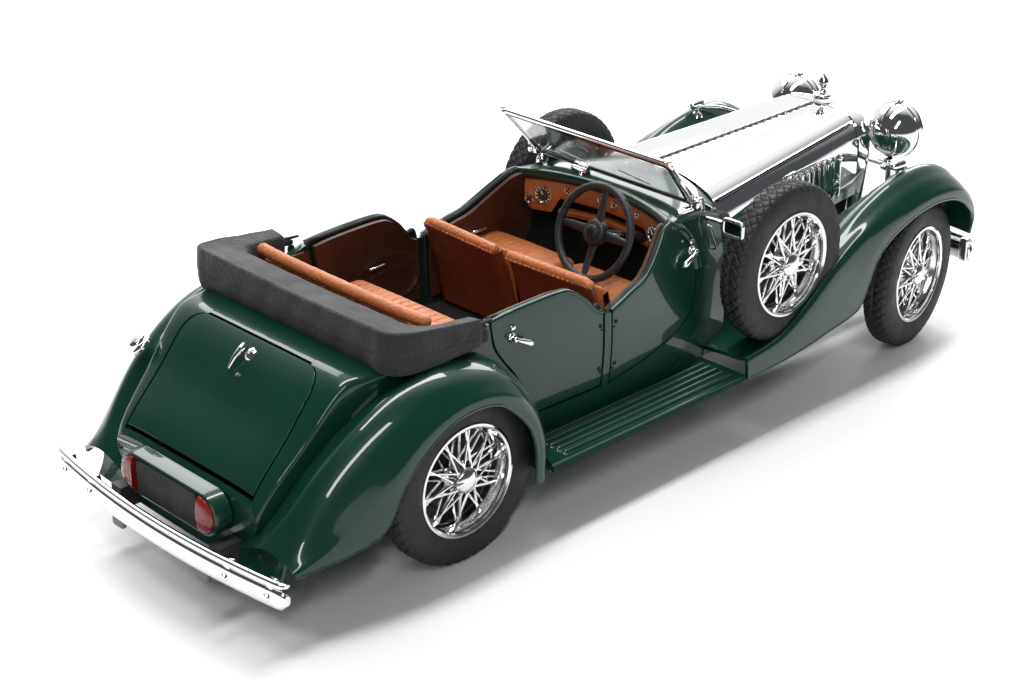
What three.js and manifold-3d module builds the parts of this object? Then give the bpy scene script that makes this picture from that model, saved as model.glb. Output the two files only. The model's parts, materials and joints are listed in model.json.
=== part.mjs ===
// A 1:24 diecast collector car: an open four-door tourer of the late 1930s, nose along +X, up along +Z.
// Lengths are in millimetres. Shapes are drawn from the rear axle's line on the ground, and the whole
// car is shifted at the end so that its origin is the middle of the footprint.
import * as THREE from "three";
import { mergeVertices } from "three/addons/utils/BufferGeometryUtils.js";
import Module from "manifold-3d";

const wasm = await Module();
wasm.setup();

// ---- Driving dimensions -------------------------------------------------------------------------
const wheelbase = 134;
const track = 55.6; // between the middles of two tyres on one axle
const frontOverhang = 24.3; // front axle to the face of the front bumper
const rearOverhang = 46.3; // rear axle to the face of the rear bumper
const gap = 0.3; // clearance between pieces that seat on each other
const shutLine = 0.45; // clearance round a door or a lid
const wall = 1.6; // body casting
const wingWall = 1.1;
const panelWall = 1.0; // bonnet halves

const tyreRadius = 16.45;
const tyreWidth = 6;
const rimRadius = 10.4;
const rimWidth = 4.4;
const hubRadius = 2.6;
const axleRadius = 0.9;
const axlePlay = 0.25; // between a stub axle and its hub's bore
const archGap = 2.3; // tyre to wing lip over the top
const wheelPlay = 0.6; // what the wings and boards keep clear of a spinning tyre

const bodyWidth = 54; // widest, at the waist of the doors
const floorHeight = 19.6;
const scuttleX = 79.7; // where the bonnet starts
const dashX = 61.5; // rear edge of the scuttle at its sides
const dashBow = 4.5; // how much further forward the edge is at the middle
const pillarRearX = 37.7;
const pillarFrontX = 40.3;
const cockpitRearX = -6;
const bootFrontX = -9;
const bootRearX = -35.5;
const tailX = -38.4;

const boardTop = 15.5;
const boardThickness = 2.5;
const wingSeamX = 71; // front wing to running board

const railHeight = 4.2;
const casingRadius = 1.7; // rear axle's casing, which lies over the rails
const axleRailGap = 0.75;
const railOuterY = 16;
const railWidth = 3;

const kingpinY = 25;
const kingpinRadius = 1.2;
const steerAtRest = 8.6; // degrees to the left, as the model stands
const steerLimit = 20; // degrees each way from straight ahead

const steeringWheelRadius = 9.8;
const steeringInset = 16; // steering wheel's hub in from the body's widest line
const screenArm = 13.9; // windscreen pivot to top rail
const screenRake = 41; // degrees back from upright
const lampRadius = 6.3;
const spareX = 84.9;
const spareHeight = 34;
const spareY = 30.8;

const wheelZ = tyreRadius;
const wheelY = track / 2;
const archRadius = tyreRadius + archGap;
const wingOuterY = wheelY + tyreWidth / 2 + 4.4;
const railTop = wheelZ - casingRadius - axleRailGap;
const railBottom = railTop - railHeight;
const bonnetFrontX = wheelbase - 1;

// ---- Finishes ------------------------------------------------------------------------------------
const finishes = {
  paint: { color: 0x0d3a2c, roughness: 0.22, metalness: 0.1 },
  chrome: { color: 0xe6e6e2, roughness: 0.08, metalness: 1.0 },
  steel: { color: 0x3c3c3e, roughness: 0.5, metalness: 0.7 },
  engine: { color: 0x5a5c5e, roughness: 0.45, metalness: 0.6 },
  rubber: { color: 0x232224, roughness: 0.75, metalness: 0.0 },
  leather: { color: 0xb8552a, roughness: 0.55, metalness: 0.0 },
  card: { color: 0x4a2620, roughness: 0.6, metalness: 0.0 },
  cloth: { color: 0x34323a, roughness: 0.85, metalness: 0.0 },
  carpet: { color: 0x1c1b1e, roughness: 0.9, metalness: 0.0 },
  plastic: { color: 0x1d1b1d, roughness: 0.4, metalness: 0.0 },
  glass: { color: 0xd8e2e2, roughness: 0.04, metalness: 0.0 },
  lens: { color: 0xb01818, roughness: 0.15, metalness: 0.0 },
  plate: { color: 0x4b4c50, roughness: 0.5, metalness: 0.2 },
};

// ---- Shape helpers -------------------------------------------------------------------------------
const lerp = THREE.MathUtils.lerp;
const radians = THREE.MathUtils.degToRad;

// A closed geometry as a manifold solid, with only its shared corners kept.
function solid(geometry) {
  const bare = new THREE.BufferGeometry();
  bare.setAttribute("position", geometry.getAttribute("position"));
  if (geometry.index) bare.setIndex(geometry.index);
  const merged = mergeVertices(bare, 1e-4);
  const vertProperties = new Float32Array(merged.attributes.position.array);
  const triVerts = new Uint32Array(merged.index.array);
  const made = new wasm.Manifold(new wasm.Mesh({ numProp: 3, vertProperties, triVerts }));
  if (made.volume() > 0) return made;
  for (let i = 0; i < triVerts.length; i += 3) {
    [triVerts[i + 1], triVerts[i + 2]] = [triVerts[i + 2], triVerts[i + 1]];
  }
  return new wasm.Manifold(new wasm.Mesh({ numProp: 3, vertProperties, triVerts }));
}

// The largest single body of a solid, as a geometry: a cut can leave a sliver beside it.
function geometryOf(made) {
  const bodies = made.decompose().sort((a, b) => b.volume() - a.volume());
  const mesh = bodies[0].getMesh();
  const geometry = new THREE.BufferGeometry();
  geometry.setAttribute("position", new THREE.BufferAttribute(mesh.vertProperties, 3));
  geometry.setIndex(new THREE.BufferAttribute(mesh.triVerts, 1));
  geometry.computeVertexNormals();
  return geometry;
}

// The same geometry on the other side of the car.
function otherSide(geometry) {
  const copy = geometry.clone().scale(1, -1, 1);
  const index = copy.index.array;
  for (let i = 0; i < index.length; i += 3) {
    [index[i + 1], index[i + 2]] = [index[i + 2], index[i + 1]];
  }
  copy.computeVertexNormals();
  return copy;
}

function indexed(points, faces) {
  const geometry = new THREE.BufferGeometry().setFromPoints(points);
  geometry.setIndex(faces);
  return geometry;
}

// A solid through closed rings of points, one ring at each station, with flat-fan ends.
function loft(rings) {
  const count = rings[0].length;
  const points = rings.flat();
  const faces = [];
  for (let i = 0; i + 1 < rings.length; i++) {
    for (let j = 0; j < count; j++) {
      const k = (j + 1) % count;
      const a = i * count;
      const b = a + count;
      faces.push(a + j, a + k, b + j, a + k, b + k, b + j);
    }
  }
  for (const [ring, last] of [[rings[0], false], [rings.at(-1), true]]) {
    const middle = ring.reduce((sum, p) => sum.add(p), new THREE.Vector3()).divideScalar(count);
    const hub = points.push(middle) - 1;
    const start = last ? (rings.length - 1) * count : 0;
    for (let j = 0; j < count; j++) {
      const k = (j + 1) % count;
      if (last) faces.push(start + j, start + k, hub);
      else faces.push(start + k, start + j, hub);
    }
  }
  return solid(indexed(points, faces));
}

// A sheet of even thickness behind a grid of outer points, offset along the grid's own normals.
function sheet(grid, thickness, inward) {
  const rows = grid.length;
  const columns = grid[0].length;
  const outer = grid.flat();
  const inner = [];
  for (let i = 0; i < rows; i++) {
    for (let j = 0; j < columns; j++) {
      const along = grid[Math.min(i + 1, rows - 1)][j].clone().sub(grid[Math.max(i - 1, 0)][j]);
      const across = grid[i][Math.min(j + 1, columns - 1)].clone().sub(grid[i][Math.max(j - 1, 0)]);
      const normal = along.cross(across).normalize();
      inner.push(grid[i][j].clone().addScaledVector(normal, inward * thickness));
    }
  }
  const at = (i, j) => i * columns + j;
  const under = (i, j) => rows * columns + at(i, j);
  const faces = [];
  const quad = (a, b, c, d) => faces.push(a, b, c, a, c, d);
  for (let i = 0; i + 1 < rows; i++) {
    for (let j = 0; j + 1 < columns; j++) {
      quad(at(i, j), at(i + 1, j), at(i + 1, j + 1), at(i, j + 1));
      quad(under(i, j), under(i, j + 1), under(i + 1, j + 1), under(i + 1, j));
    }
  }
  for (let i = 0; i + 1 < rows; i++) {
    const j = columns - 1;
    quad(at(i, 0), under(i, 0), under(i + 1, 0), at(i + 1, 0));
    quad(at(i, j), at(i + 1, j), under(i + 1, j), under(i, j));
  }
  for (let j = 0; j + 1 < columns; j++) {
    const i = rows - 1;
    quad(at(0, j), at(0, j + 1), under(0, j + 1), under(0, j));
    quad(at(i, j), under(i, j), under(i, j + 1), at(i, j + 1));
  }
  return solid(indexed([...outer, ...inner], faces));
}

const shapeOf = (points) => new THREE.Shape(points.map(([u, v]) => new THREE.Vector2(u, v)));

// Outlines drawn in side view (x, z), plan (x, y) or front view (y, z), and drawn out along the third axis.
function fromSide(points, lowY, highY) {
  const drawn = new THREE.ExtrudeGeometry(shapeOf(points), { depth: highY - lowY, bevelEnabled: false });
  return solid(drawn.rotateX(Math.PI / 2).translate(0, highY, 0));
}

function fromPlan(points, lowZ, highZ) {
  const drawn = new THREE.ExtrudeGeometry(shapeOf(points), { depth: highZ - lowZ, bevelEnabled: false });
  return solid(drawn.translate(0, 0, lowZ));
}

function fromFront(points, lowX, highX) {
  const drawn = new THREE.ExtrudeGeometry(shapeOf(points), { depth: highX - lowX, bevelEnabled: false });
  const turn = new THREE.Matrix4().makeBasis(
    new THREE.Vector3(0, 1, 0),
    new THREE.Vector3(0, 0, 1),
    new THREE.Vector3(1, 0, 0),
  );
  return solid(drawn.applyMatrix4(turn).translate(lowX, 0, 0));
}

function box(lowX, highX, lowY, highY, lowZ, highZ) {
  const made = new THREE.BoxGeometry(highX - lowX, highY - lowY, highZ - lowZ);
  return solid(made.translate((lowX + highX) / 2, (lowY + highY) / 2, (lowZ + highZ) / 2));
}

// A round bar from one point to another.
function rod(from, to, radius, sides = 12) {
  const a = new THREE.Vector3(...from);
  const b = new THREE.Vector3(...to);
  const direction = b.clone().sub(a);
  const made = new THREE.CylinderGeometry(radius, radius, direction.length(), sides);
  const turn = new THREE.Quaternion().setFromUnitVectors(
    new THREE.Vector3(0, 1, 0),
    direction.clone().normalize(),
  );
  made.applyQuaternion(turn);
  return solid(made.translate((a.x + b.x) / 2, (a.y + b.y) / 2, (a.z + b.z) / 2));
}

// A turned piece about the Y axis from (radius, y) points.
function turned(profile, sides = 24) {
  const points = profile.map(([r, y]) => new THREE.Vector2(r, y));
  return new THREE.LatheGeometry(points, sides);
}

// The same, but with a flat of the polygon at the bottom, that touches the stated radius.
function turnedOnFlat(profile, sides) {
  const grow = 1 / Math.cos(Math.PI / sides);
  const points = profile.map(([r, y]) => new THREE.Vector2(r * grow, y));
  return new THREE.LatheGeometry(points, sides, Math.PI / sides);
}

const join = (first, ...others) => others.reduce((sum, other) => sum.add(other), first);

// ---- The car and its parts -----------------------------------------------------------------------
const car = new THREE.Group();

function part(name, made, finish, parent = car) {
  const geometry = made.isBufferGeometry ? made : geometryOf(made);
  const mesh = new THREE.Mesh(geometry, new THREE.MeshStandardMaterial(finishes[finish]));
  mesh.name = name;
  parent.add(mesh);
  return mesh;
}

// A right-hand piece and its mirror image on the left.
function pair(name, made, finish) {
  const geometry = geometryOf(made);
  part(name + "_right", geometry, finish);
  part(name + "_left", otherSide(geometry), finish);
}

// ---- Body outline --------------------------------------------------------------------------------
// Stations along the body: x, bottom, the tuck-in of each side at the sill, the waist and the belt,
// the belt's height, the crown's height, and how square the crown is (2 is an ellipse).
const bodyStations = [
  [tailX, 14.6, 8.6, 7.4, 6.6, 18.0, 21.6, 5],
  [-37.2, 14.6, 8.0, 6.6, 6.2, 20.0, 23.4, 6],
  [-30, 14.6, 7.0, 5.2, 4.8, 28.0, 31.2, 6],
  [-21.5, 14.6, 5.6, 3.6, 3.4, 36.6, 40.4, 6],
  [-17, 14.6, 4.8, 2.8, 2.6, 38.0, 41.0, 6],
  [-6, 15.5, 3.4, 1.6, 1.2, 39.0, 41.0, 6],
  [8, 16.5, 2.4, 1.0, 1.0, 43.4, 47.0, 4],
  [24, 16.5, 1.6, 0.1, 0.8, 43.8, 47.0, 4],
  [39, 16.5, 1.2, 0.0, 1.0, 43.0, 47.0, 4],
  [50, 16.5, 1.4, 0.6, 2.2, 44.4, 47.0, 4],
  [dashX, 16.8, 2.2, 2.0, 5.1, 45.0, 46.2, 4],
  [70, 17.0, 3.6, 3.4, 6.0, 44.0, 46.9, 3],
  [scuttleX, 17.2, 6.0, 6.2, 8.2, 40.6, 48.2, 1.9],
];

function bodyAt(x) {
  const next = Math.max(1, bodyStations.findIndex((row) => row[0] >= x));
  const [low, high] = [bodyStations[next - 1], bodyStations[next]];
  const share = (x - low[0]) / (high[0] - low[0]);
  return low.map((value, i) => lerp(value, high[i], share));
}

// The ring of the body at one station, drawn in by an inset and with its bottom where it is asked for.
function bodyRing(x, inset, lowest) {
  const [, bottom, sill, waist, belt, beltZ, crownZ, power] = bodyAt(x);
  const half = bodyWidth / 2 - inset;
  const start = lowest ?? bottom + inset;
  const right = [];
  const sideSteps = 5;
  for (let i = 0; i <= sideSteps; i++) {
    const t = i / sideSteps;
    const tuck = sill * (1 - t) * (1 - 2 * t) + waist * 4 * t * (1 - t) + belt * t * (2 * t - 1);
    right.push([half - tuck, lerp(start, beltZ - inset, t)]);
  }
  for (const turn of [16, 36, 60]) {
    const across = Math.cos(radians(turn)) ** (2 / power);
    const up = Math.sin(radians(turn)) ** (2 / power);
    right.push([(half - belt) * across, lerp(beltZ - inset, crownZ - inset, up)]);
  }
  const ring = right.map(([y, z]) => new THREE.Vector3(x, -y, z));
  ring.push(new THREE.Vector3(x, 0, crownZ - inset));
  for (const [y, z] of right.reverse()) ring.push(new THREE.Vector3(x, y, z));
  return ring;
}

function bodyLoft(fromX, toX, inset, lowest) {
  const inside = bodyStations.map((row) => row[0]).filter((x) => x > fromX + 0.5 && x < toX - 0.5);
  return loft([fromX, ...inside, toX].map((x) => bodyRing(x, inset, lowest)));
}

const bodySolid = bodyLoft(tailX, scuttleX, 0);
const bodyRoom = bodyLoft(tailX, scuttleX, -gap, 13);
const bodyKeepOut = join(bodyRoom, bodyRoom.translate([gap, 0, 0]), bodyRoom.translate([-gap, 0, 0]));

// ---- Door and lid outlines, seen from the side ---------------------------------------------------
const sillZ = 21;
const rearDoorOutline = [
  [21, sillZ],
  [pillarRearX, sillZ],
  [pillarRearX, 60],
  [9, 60],
  [10.6, 37.6],
  [12.6, 34.3],
  [14.8, 31.5],
  [17.1, 28.2],
  [19.1, 25],
];
const frontDoorOutline = [
  [pillarFrontX, sillZ],
  [49, 22.2],
  [57, 24.0],
  [62, 25.6],
  [65.4, 28.0],
  [66.8, 32],
  [67, 38],
  [66, 42.5],
  [63.5, 44.2],
  [dashX + 0.4, 44.9],
  [dashX + 0.4, 60],
  [pillarFrontX, 60],
];
// The line of the body's top edge, from the folded hood forward along the doors to the scuttle.
const beltLine = [
  [cockpitRearX - 1, 40.2],
  [5.2, 40.2],
  [5.2, 42.4],
  [12, 42.5],
  [20, 42.8],
  [27.5, 42.8],
  [30.5, 42],
  [34, 39],
  [36, 36.7],
  [37.4, 36.0],
  [40.4, 35.5],
  [44.1, 36.7],
  [50.4, 38.5],
  [53.8, 40.6],
  [57, 43],
  [59.4, 44.8],
  [dashX + 0.2, 45.6],
];
const aboveBelt = fromSide(
  [...beltLine, [dashX + 0.2, 70], [cockpitRearX - 1, 70]],
  -bodyWidth,
  bodyWidth,
);

// An outline grown outward by an amount, for the opening that a panel closes.
function grown(outline, amount) {
  const middle = outline.reduce(([u, v], [x, z]) => [u + x, v + z], [0, 0]).map((sum) => sum / outline.length);
  return outline.map(([x, z], i) => {
    const before = outline[(i + outline.length - 1) % outline.length];
    const after = outline[(i + 1) % outline.length];
    const normals = [[before, [x, z]], [[x, z], after]].map(([a, b]) => {
      const length = Math.hypot(b[0] - a[0], b[1] - a[1]);
      const n = [(b[1] - a[1]) / length, -(b[0] - a[0]) / length];
      return n;
    });
    const sum = [normals[0][0] + normals[1][0], normals[0][1] + normals[1][1]];
    const scale = (2 * amount) / (sum[0] ** 2 + sum[1] ** 2);
    const out = [x + sum[0] * scale, z + sum[1] * scale];
    const away = Math.hypot(out[0] - middle[0], out[1] - middle[1]);
    return away > 0 ? out : [x, z];
  });
}

// ---- Body shell ----------------------------------------------------------------------------------
const cockpitHollow = bodyLoft(cockpitRearX, dashX, wall, 5).add(
  box(cockpitRearX + 1, dashX - 0.01, -bodyWidth / 2 + 6.4, bodyWidth / 2 - 6.4, 30, 70),
);
const footwell = bodyLoft(dashX - 3, scuttleX - 3.4, wall, 5);
const bootHollow = bodyLoft(bootRearX, bootFrontX, wall);

// The bowed rear edge of the scuttle, as an arc in plan.
function bow(x, halfWidth, steps = 8) {
  const points = [];
  for (let i = 0; i <= steps; i++) {
    const y = lerp(-halfWidth, halfWidth, i / steps);
    points.push([x + dashBow * (1 - (y / halfWidth) ** 2), y]);
  }
  return points;
}
const dashHalf = bodyWidth / 2 - 6.8;
const scuttleBow = fromPlan([[dashX - 4, dashHalf], [dashX - 4, -dashHalf], ...bow(dashX, dashHalf)], 30, 70);

// The boot lid lies on the sloping tail, between two lines across it.
const lidTop = new THREE.Vector2(-21.1, 40.6);
const lidBottom = new THREE.Vector2(-37.3, 23.2);
const lidHalfWidth = 18.2;
const lidLine = lidTop.clone().sub(lidBottom).normalize();
const lidOut = new THREE.Vector2(-lidLine.y, lidLine.x);
function lidPrism(grow) {
  const corners = [
    [lidTop, grow, 5],
    [lidBottom, -grow, 5],
    [lidBottom, -grow, -2.6],
    [lidTop, grow, -2.6],
  ].map(([end, along, out]) => {
    const point = end.clone().addScaledVector(lidLine, along).addScaledVector(lidOut, out);
    return [point.x, point.y];
  });
  return fromSide(corners, -lidHalfWidth - grow, lidHalfWidth + grow);
}

const wheelHouse = (radius, lowY, highY) => rod([0, lowY, wheelZ], [0, highY, wheelZ], radius, 24);
const houseInnerY = wheelY - tyreWidth / 2 - wheelPlay;

function doorPrism(outline, amount, side) {
  const outer = side * (bodyWidth / 2 + 5);
  const inner = side * (bodyWidth / 2 - 9);
  return fromSide(amount ? grown(outline, amount) : outline, Math.min(inner, outer), Math.max(inner, outer));
}

let shell = bodySolid
  .subtract(cockpitHollow)
  .subtract(footwell)
  .subtract(scuttleBow)
  .subtract(bootHollow)
  .subtract(aboveBelt);
for (const side of [-1, 1]) {
  const [low, high] = side < 0 ? [-bodyWidth / 2 + 0.6, -houseInnerY + wall] : [houseInnerY - wall, bodyWidth / 2 - 0.6];
  shell = shell.add(wheelHouse(tyreRadius + wheelPlay + wall, low, high).intersect(bodySolid));
}
for (const side of [-1, 1]) {
  const [low, high] = side < 0 ? [-wingOuterY, -houseInnerY] : [houseInnerY, wingOuterY];
  shell = shell.subtract(wheelHouse(tyreRadius + wheelPlay, low, high));
  shell = shell.subtract(doorPrism(rearDoorOutline, shutLine, side));
  shell = shell.subtract(doorPrism(frontDoorOutline, shutLine, side));
}
shell = shell.subtract(lidPrism(shutLine));
shell = shell.subtract(rod([0, -bodyWidth, wheelZ], [0, bodyWidth, wheelZ], 2.6));
part("body_shell", shell, "paint");

// ---- Doors with their trim cards -----------------------------------------------------------------
const skinBlank = bodySolid.subtract(bodyLoft(cockpitRearX, scuttleX - 3.4, wall, 5)).subtract(aboveBelt);
const cardThickness = 0.8;
const cardOuter = bodyLoft(cockpitRearX, scuttleX - 4, wall + gap, 5);
const cardInner = bodyLoft(cockpitRearX - 1, scuttleX - 3.9, wall + gap + cardThickness, 5);
const cardBlank = cardOuter.subtract(cardInner).subtract(aboveBelt);
for (const [place, outline] of [["rear", rearDoorOutline], ["front", frontDoorOutline]]) {
  const prism = doorPrism(outline, 0, -1);
  const cardPrism = doorPrism(outline, -1.2, -1);
  const card = cardBlank.intersect(cardPrism).subtract(box(-50, 200, -60, 60, 0, floorHeight + 2.6));
  pair("door_" + place, skinBlank.intersect(prism), "paint");
  pair("door_trim_" + place, card, "card");
}

// ---- Boot lid ------------------------------------------------------------------------------------
part("boot_lid", bodySolid.subtract(bodyLoft(tailX + wall, bootFrontX, wall)).intersect(lidPrism(0)), "paint");

// ---- Wings ---------------------------------------------------------------------------------------
// Each rail runs the length of a wing. Points near the wheel are in arch radii from the wheel's centre.
const nearWheel = (axleX, [u, v]) => [axleX + u * archRadius, wheelZ + v * archRadius];

// Rows of rear wing points from the board round over the tyre to the tail: lip, shoulder, crown.
const rearWingRows = [
  { lip: [0.68, -0.2], shoulder: [0.82, -0.2], crown: [0.955, -0.2] },
  { lip: [0.69, 0.02], shoulder: [0.83, 0.04], crown: [0.96, 0.08] },
  { lip: [0.67, 0.23], shoulder: [0.81, 0.27], crown: [0.93, 0.32] },
  { lip: [0.58, 0.46], shoulder: [0.71, 0.54], crown: [0.83, 0.62] },
  { lip: [0.42, 0.65], shoulder: [0.52, 0.78], crown: [0.62, 0.92] },
  { lip: [0.2, 0.82], shoulder: [0.26, 0.95], crown: [0.34, 1.12] },
  { lip: [-0.1, 0.88], shoulder: [-0.08, 1.02], crown: [-0.04, 1.22] },
  { lip: [-0.42, 0.83], shoulder: [-0.42, 0.99], crown: [-0.42, 1.23] },
  { lip: [-0.74, 0.65], shoulder: [-0.76, 0.86], crown: [-0.82, 1.14] },
  { lip: [-1.0, 0.38], shoulder: [-1.07, 0.62], crown: [-1.2, 0.94] },
  { lip: [-1.18, 0.04], shoulder: [-1.35, 0.36], crown: [-1.55, 0.66] },
  { lip: [-1.5, -0.1], shoulder: [-1.66, 0.1], crown: [-1.84, 0.34] },
  { lip: [-2.06, -0.17], shoulder: [-2.09, -0.1], crown: [-2.11, -0.02] },
];

// The wing tapers in plan towards its tip, by this much at each row.
const rearTaper = [0, 0, 0, 0, 0, 0, 0, 0, 0, 0.2, 0.8, 2, 4.2];

function wingRow(row, axleX, taper, innerY, innerDrop) {
  const outerY = wingOuterY - taper;
  const lip = nearWheel(axleX, row.lip);
  const shoulder = nearWheel(axleX, row.shoulder);
  const crown = nearWheel(axleX, row.crown);
  const between = (a, b, t) => [lerp(a[0], b[0], t), lerp(a[1], b[1], t)];
  const rails = [
    [lip, outerY],
    [between(lip, shoulder, 0.55), outerY - 0.1],
    [shoulder, outerY - 0.9],
    [between(shoulder, crown, 0.62), outerY - 3.1],
    [crown, outerY - 6.6],
    [[crown[0], crown[1] - innerDrop / 2], lerp(outerY - 6.6, innerY, 0.55)],
    [[crown[0], crown[1] - innerDrop], innerY],
  ];
  return rails.map(([[x, z], y]) => new THREE.Vector3(x, -y, z));
}

const rearWingInnerY = Math.max(bodyWidth / 2 - 7, railOuterY + wingWall + gap);
const rearWingGrid = rearWingRows.map((row, i) =>
  wingRow(row, 0, rearTaper[i], rearWingInnerY, i > 5 ? 2.4 : 0.2),
);
const spinRoom = (axleX) => {
  const low = -wheelY - tyreWidth / 2 - wheelPlay;
  return rod([axleX, low, wheelZ], [axleX, -houseInnerY, wheelZ], tyreRadius + wheelPlay, 24);
};
const rearWing = sheet(rearWingGrid, wingWall, 1).subtract(bodyKeepOut).subtract(spinRoom(0));
pair("rear_wing", rearWing, "paint");

// Front wing rows from the front tip back over the tyre, then down the long tail to the board's seam.
const frontWingRows = [
  { lip: [0.93, 0.3], shoulder: [0.965, 0.3], crown: [0.99, 0.3] },
  { lip: [0.83, 0.56], shoulder: [0.87, 0.61], crown: [0.92, 0.63] },
  { lip: [0.61, 0.77], shoulder: [0.67, 0.88], crown: [0.74, 0.95] },
  { lip: [0.32, 0.93], shoulder: [0.35, 1.08], crown: [0.44, 1.19] },
  { lip: [0.0, 1.0], shoulder: [0.03, 1.15], crown: [0.14, 1.32] },
  { lip: [-0.32, 0.99], shoulder: [-0.3, 1.15], crown: [-0.16, 1.36] },
  { lip: [-0.64, 0.92], shoulder: [-0.62, 1.11], crown: [-0.48, 1.33] },
  { lip: [-0.98, 0.78], shoulder: [-0.95, 1.06], crown: [-0.84, 1.25] },
  { lip: [-1.2, 0.58], shoulder: [-1.22, 0.98], crown: [-1.2, 1.12] },
  { lip: [-1.32, 0.33], shoulder: [-1.4, 0.92], crown: [-1.46, 0.99] },
  { lip: [-1.49, 0.09], shoulder: [-1.64, 0.8], crown: [-1.7, 0.86] },
];
const frontTaper = [3.4, 1.8, 0.7, 0.2, 0, 0, 0, 0, 0, 0, 0];
const apronY = railOuterY + 1.4;

function frontWingRow(row, i) {
  const outer = wingRow(row, wheelbase, frontTaper[i], apronY + 7, 4.2).slice(0, 5);
  const crown = outer[4];
  const footZ = Math.min(29.5, crown.z - 2);
  const slope = [
    [apronY + 5.4, lerp(footZ, crown.z, 0.5)],
    [apronY + 2.4, lerp(footZ, crown.z, 0.16)],
    [apronY, Math.min(footZ, crown.z - 2.2)],
    [apronY, railTop + 0.6],
  ];
  return [...outer, ...slope.map(([y, z]) => new THREE.Vector3(crown.x, -y, z))];
}

// The tail's rows: how far along from the arch to the seam, and the heights of its lip and its crown.
const tailRows = [
  { share: 0.2, lip: 16.4, shoulder: 28.4, crown: 29 },
  { share: 0.42, lip: 15.3, shoulder: 23.8, crown: 23.6 },
  { share: 0.68, lip: 14.5, shoulder: 19.8, crown: 19.2 },
  { share: 1.0, lip: boardTop - 1.3, shoulder: boardTop + 2.9, crown: boardTop + 2.4 },
];
const tailStartX = wheelbase - 1.64 * archRadius;

function tailRow({ share, lip, shoulder, crown }) {
  const x = lerp(tailStartX, wingSeamX, share);
  const outerY = wingOuterY;
  const rails = [
    [outerY, lip],
    [outerY, lerp(lip, shoulder, 0.55)],
    [outerY - 0.7, shoulder],
    [outerY - 3.1, lerp(shoulder, crown, 0.62)],
    [outerY - 6.6, crown],
    [apronY + 5.4, crown - 0.5],
    [apronY + 2.4, crown - 0.8],
    [apronY, crown - 1],
    [apronY, railTop + 0.6],
  ];
  return rails.map(([y, z]) => new THREE.Vector3(x, -y, z));
}

const frontWingGrid = [...frontWingRows.map(frontWingRow), ...tailRows.map(tailRow)];

// Room for the steered tyre: the tyre's own cylinder at steps of the steering angle.
function steeredTyreRoom() {
  const offset = wheelY - kingpinY;
  const steps = [-1, -0.5, 0, 0.5, 1].map((share) => {
    const turn = radians(share * steerLimit);
    const along = (reach) => [
      wheelbase - Math.sin(turn) * reach,
      -kingpinY - Math.cos(turn) * reach,
      wheelZ,
    ];
    const half = tyreWidth / 2 + wheelPlay;
    return rod(along(offset - half), along(offset + half), tyreRadius + wheelPlay, 24);
  });
  return join(...steps);
}

const spareRoom = rod(
  [spareX, -spareY - tyreWidth / 2 - gap, spareHeight],
  [spareX, -spareY + tyreWidth / 2 + gap, spareHeight],
  tyreRadius + 2 * gap,
  32,
);
const frontWing = sheet(frontWingGrid, wingWall, 1)
  .subtract(bodyKeepOut)
  .subtract(steeredTyreRoom())
  .subtract(spareRoom)
  .subtract(box(wheelbase - 15, wheelbase + 4, -apronY - 3, -apronY + 3, 0, wheelZ + 5));
pair("front_wing", frontWing, "paint");

// ---- Running boards ------------------------------------------------------------------------------
const boardRearX = 0.955 * archRadius + gap + 0.2;
const boardFrontX = wingSeamX - gap;
const boardInnerY = railOuterY + 1.2;
const ribCount = 5;
const ribPitch = 1.5;
const ribOutline = [[-wingOuterY, boardTop - boardThickness], [-boardInnerY, boardTop - boardThickness]];
ribOutline.push([-boardInnerY, boardTop - 0.5]);
for (let i = ribCount - 1; i >= 0; i--) {
  const ribY = wingOuterY - 2.2 - i * ribPitch;
  ribOutline.push([-ribY + 0.35, boardTop - 0.5], [-ribY + 0.25, boardTop], [-ribY - 0.25, boardTop]);
  ribOutline.push([-ribY - 0.35, boardTop - 0.5]);
}
ribOutline.push([-wingOuterY + 1, boardTop - 0.5], [-wingOuterY, boardTop - 1.2]);
pair("running_board", fromFront(ribOutline, boardRearX, boardFrontX).subtract(spinRoom(0)), "paint");

// ---- Chassis -------------------------------------------------------------------------------------
const crossMembers = [-30, 24, 58, 96, wheelbase - 14, wheelbase + 12];
const rails = [-1, 1].map((side) => {
  const [low, high] = side < 0 ? [-railOuterY, -railOuterY + railWidth] : [railOuterY - railWidth, railOuterY];
  return box(-rearOverhang + 3.2, wheelbase + frontOverhang - 3.6, low, high, railBottom, railTop);
});
const members = crossMembers.map((x) =>
  box(x - 2, x + 2, -railOuterY + 1, railOuterY - 1, railBottom + 0.6, railTop - 0.6),
);
part("chassis_frame", join(...rails, ...members), "steel");

// ---- Axles, knuckles and track rod ---------------------------------------------------------------
const hubInnerY = 1.2; // from the tyre's middle plane inwards
const casing = join(
  rod([0, -kingpinY + 1.6, wheelZ], [0, kingpinY - 1.6, wheelZ], casingRadius),
  rod([0, -wheelY + 0.2, wheelZ], [0, wheelY - 0.2, wheelZ], axleRadius),
  rod([0, -3.4, wheelZ], [0, 3.4, wheelZ], 2.6),
);
part("rear_axle", casing, "steel");

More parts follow.
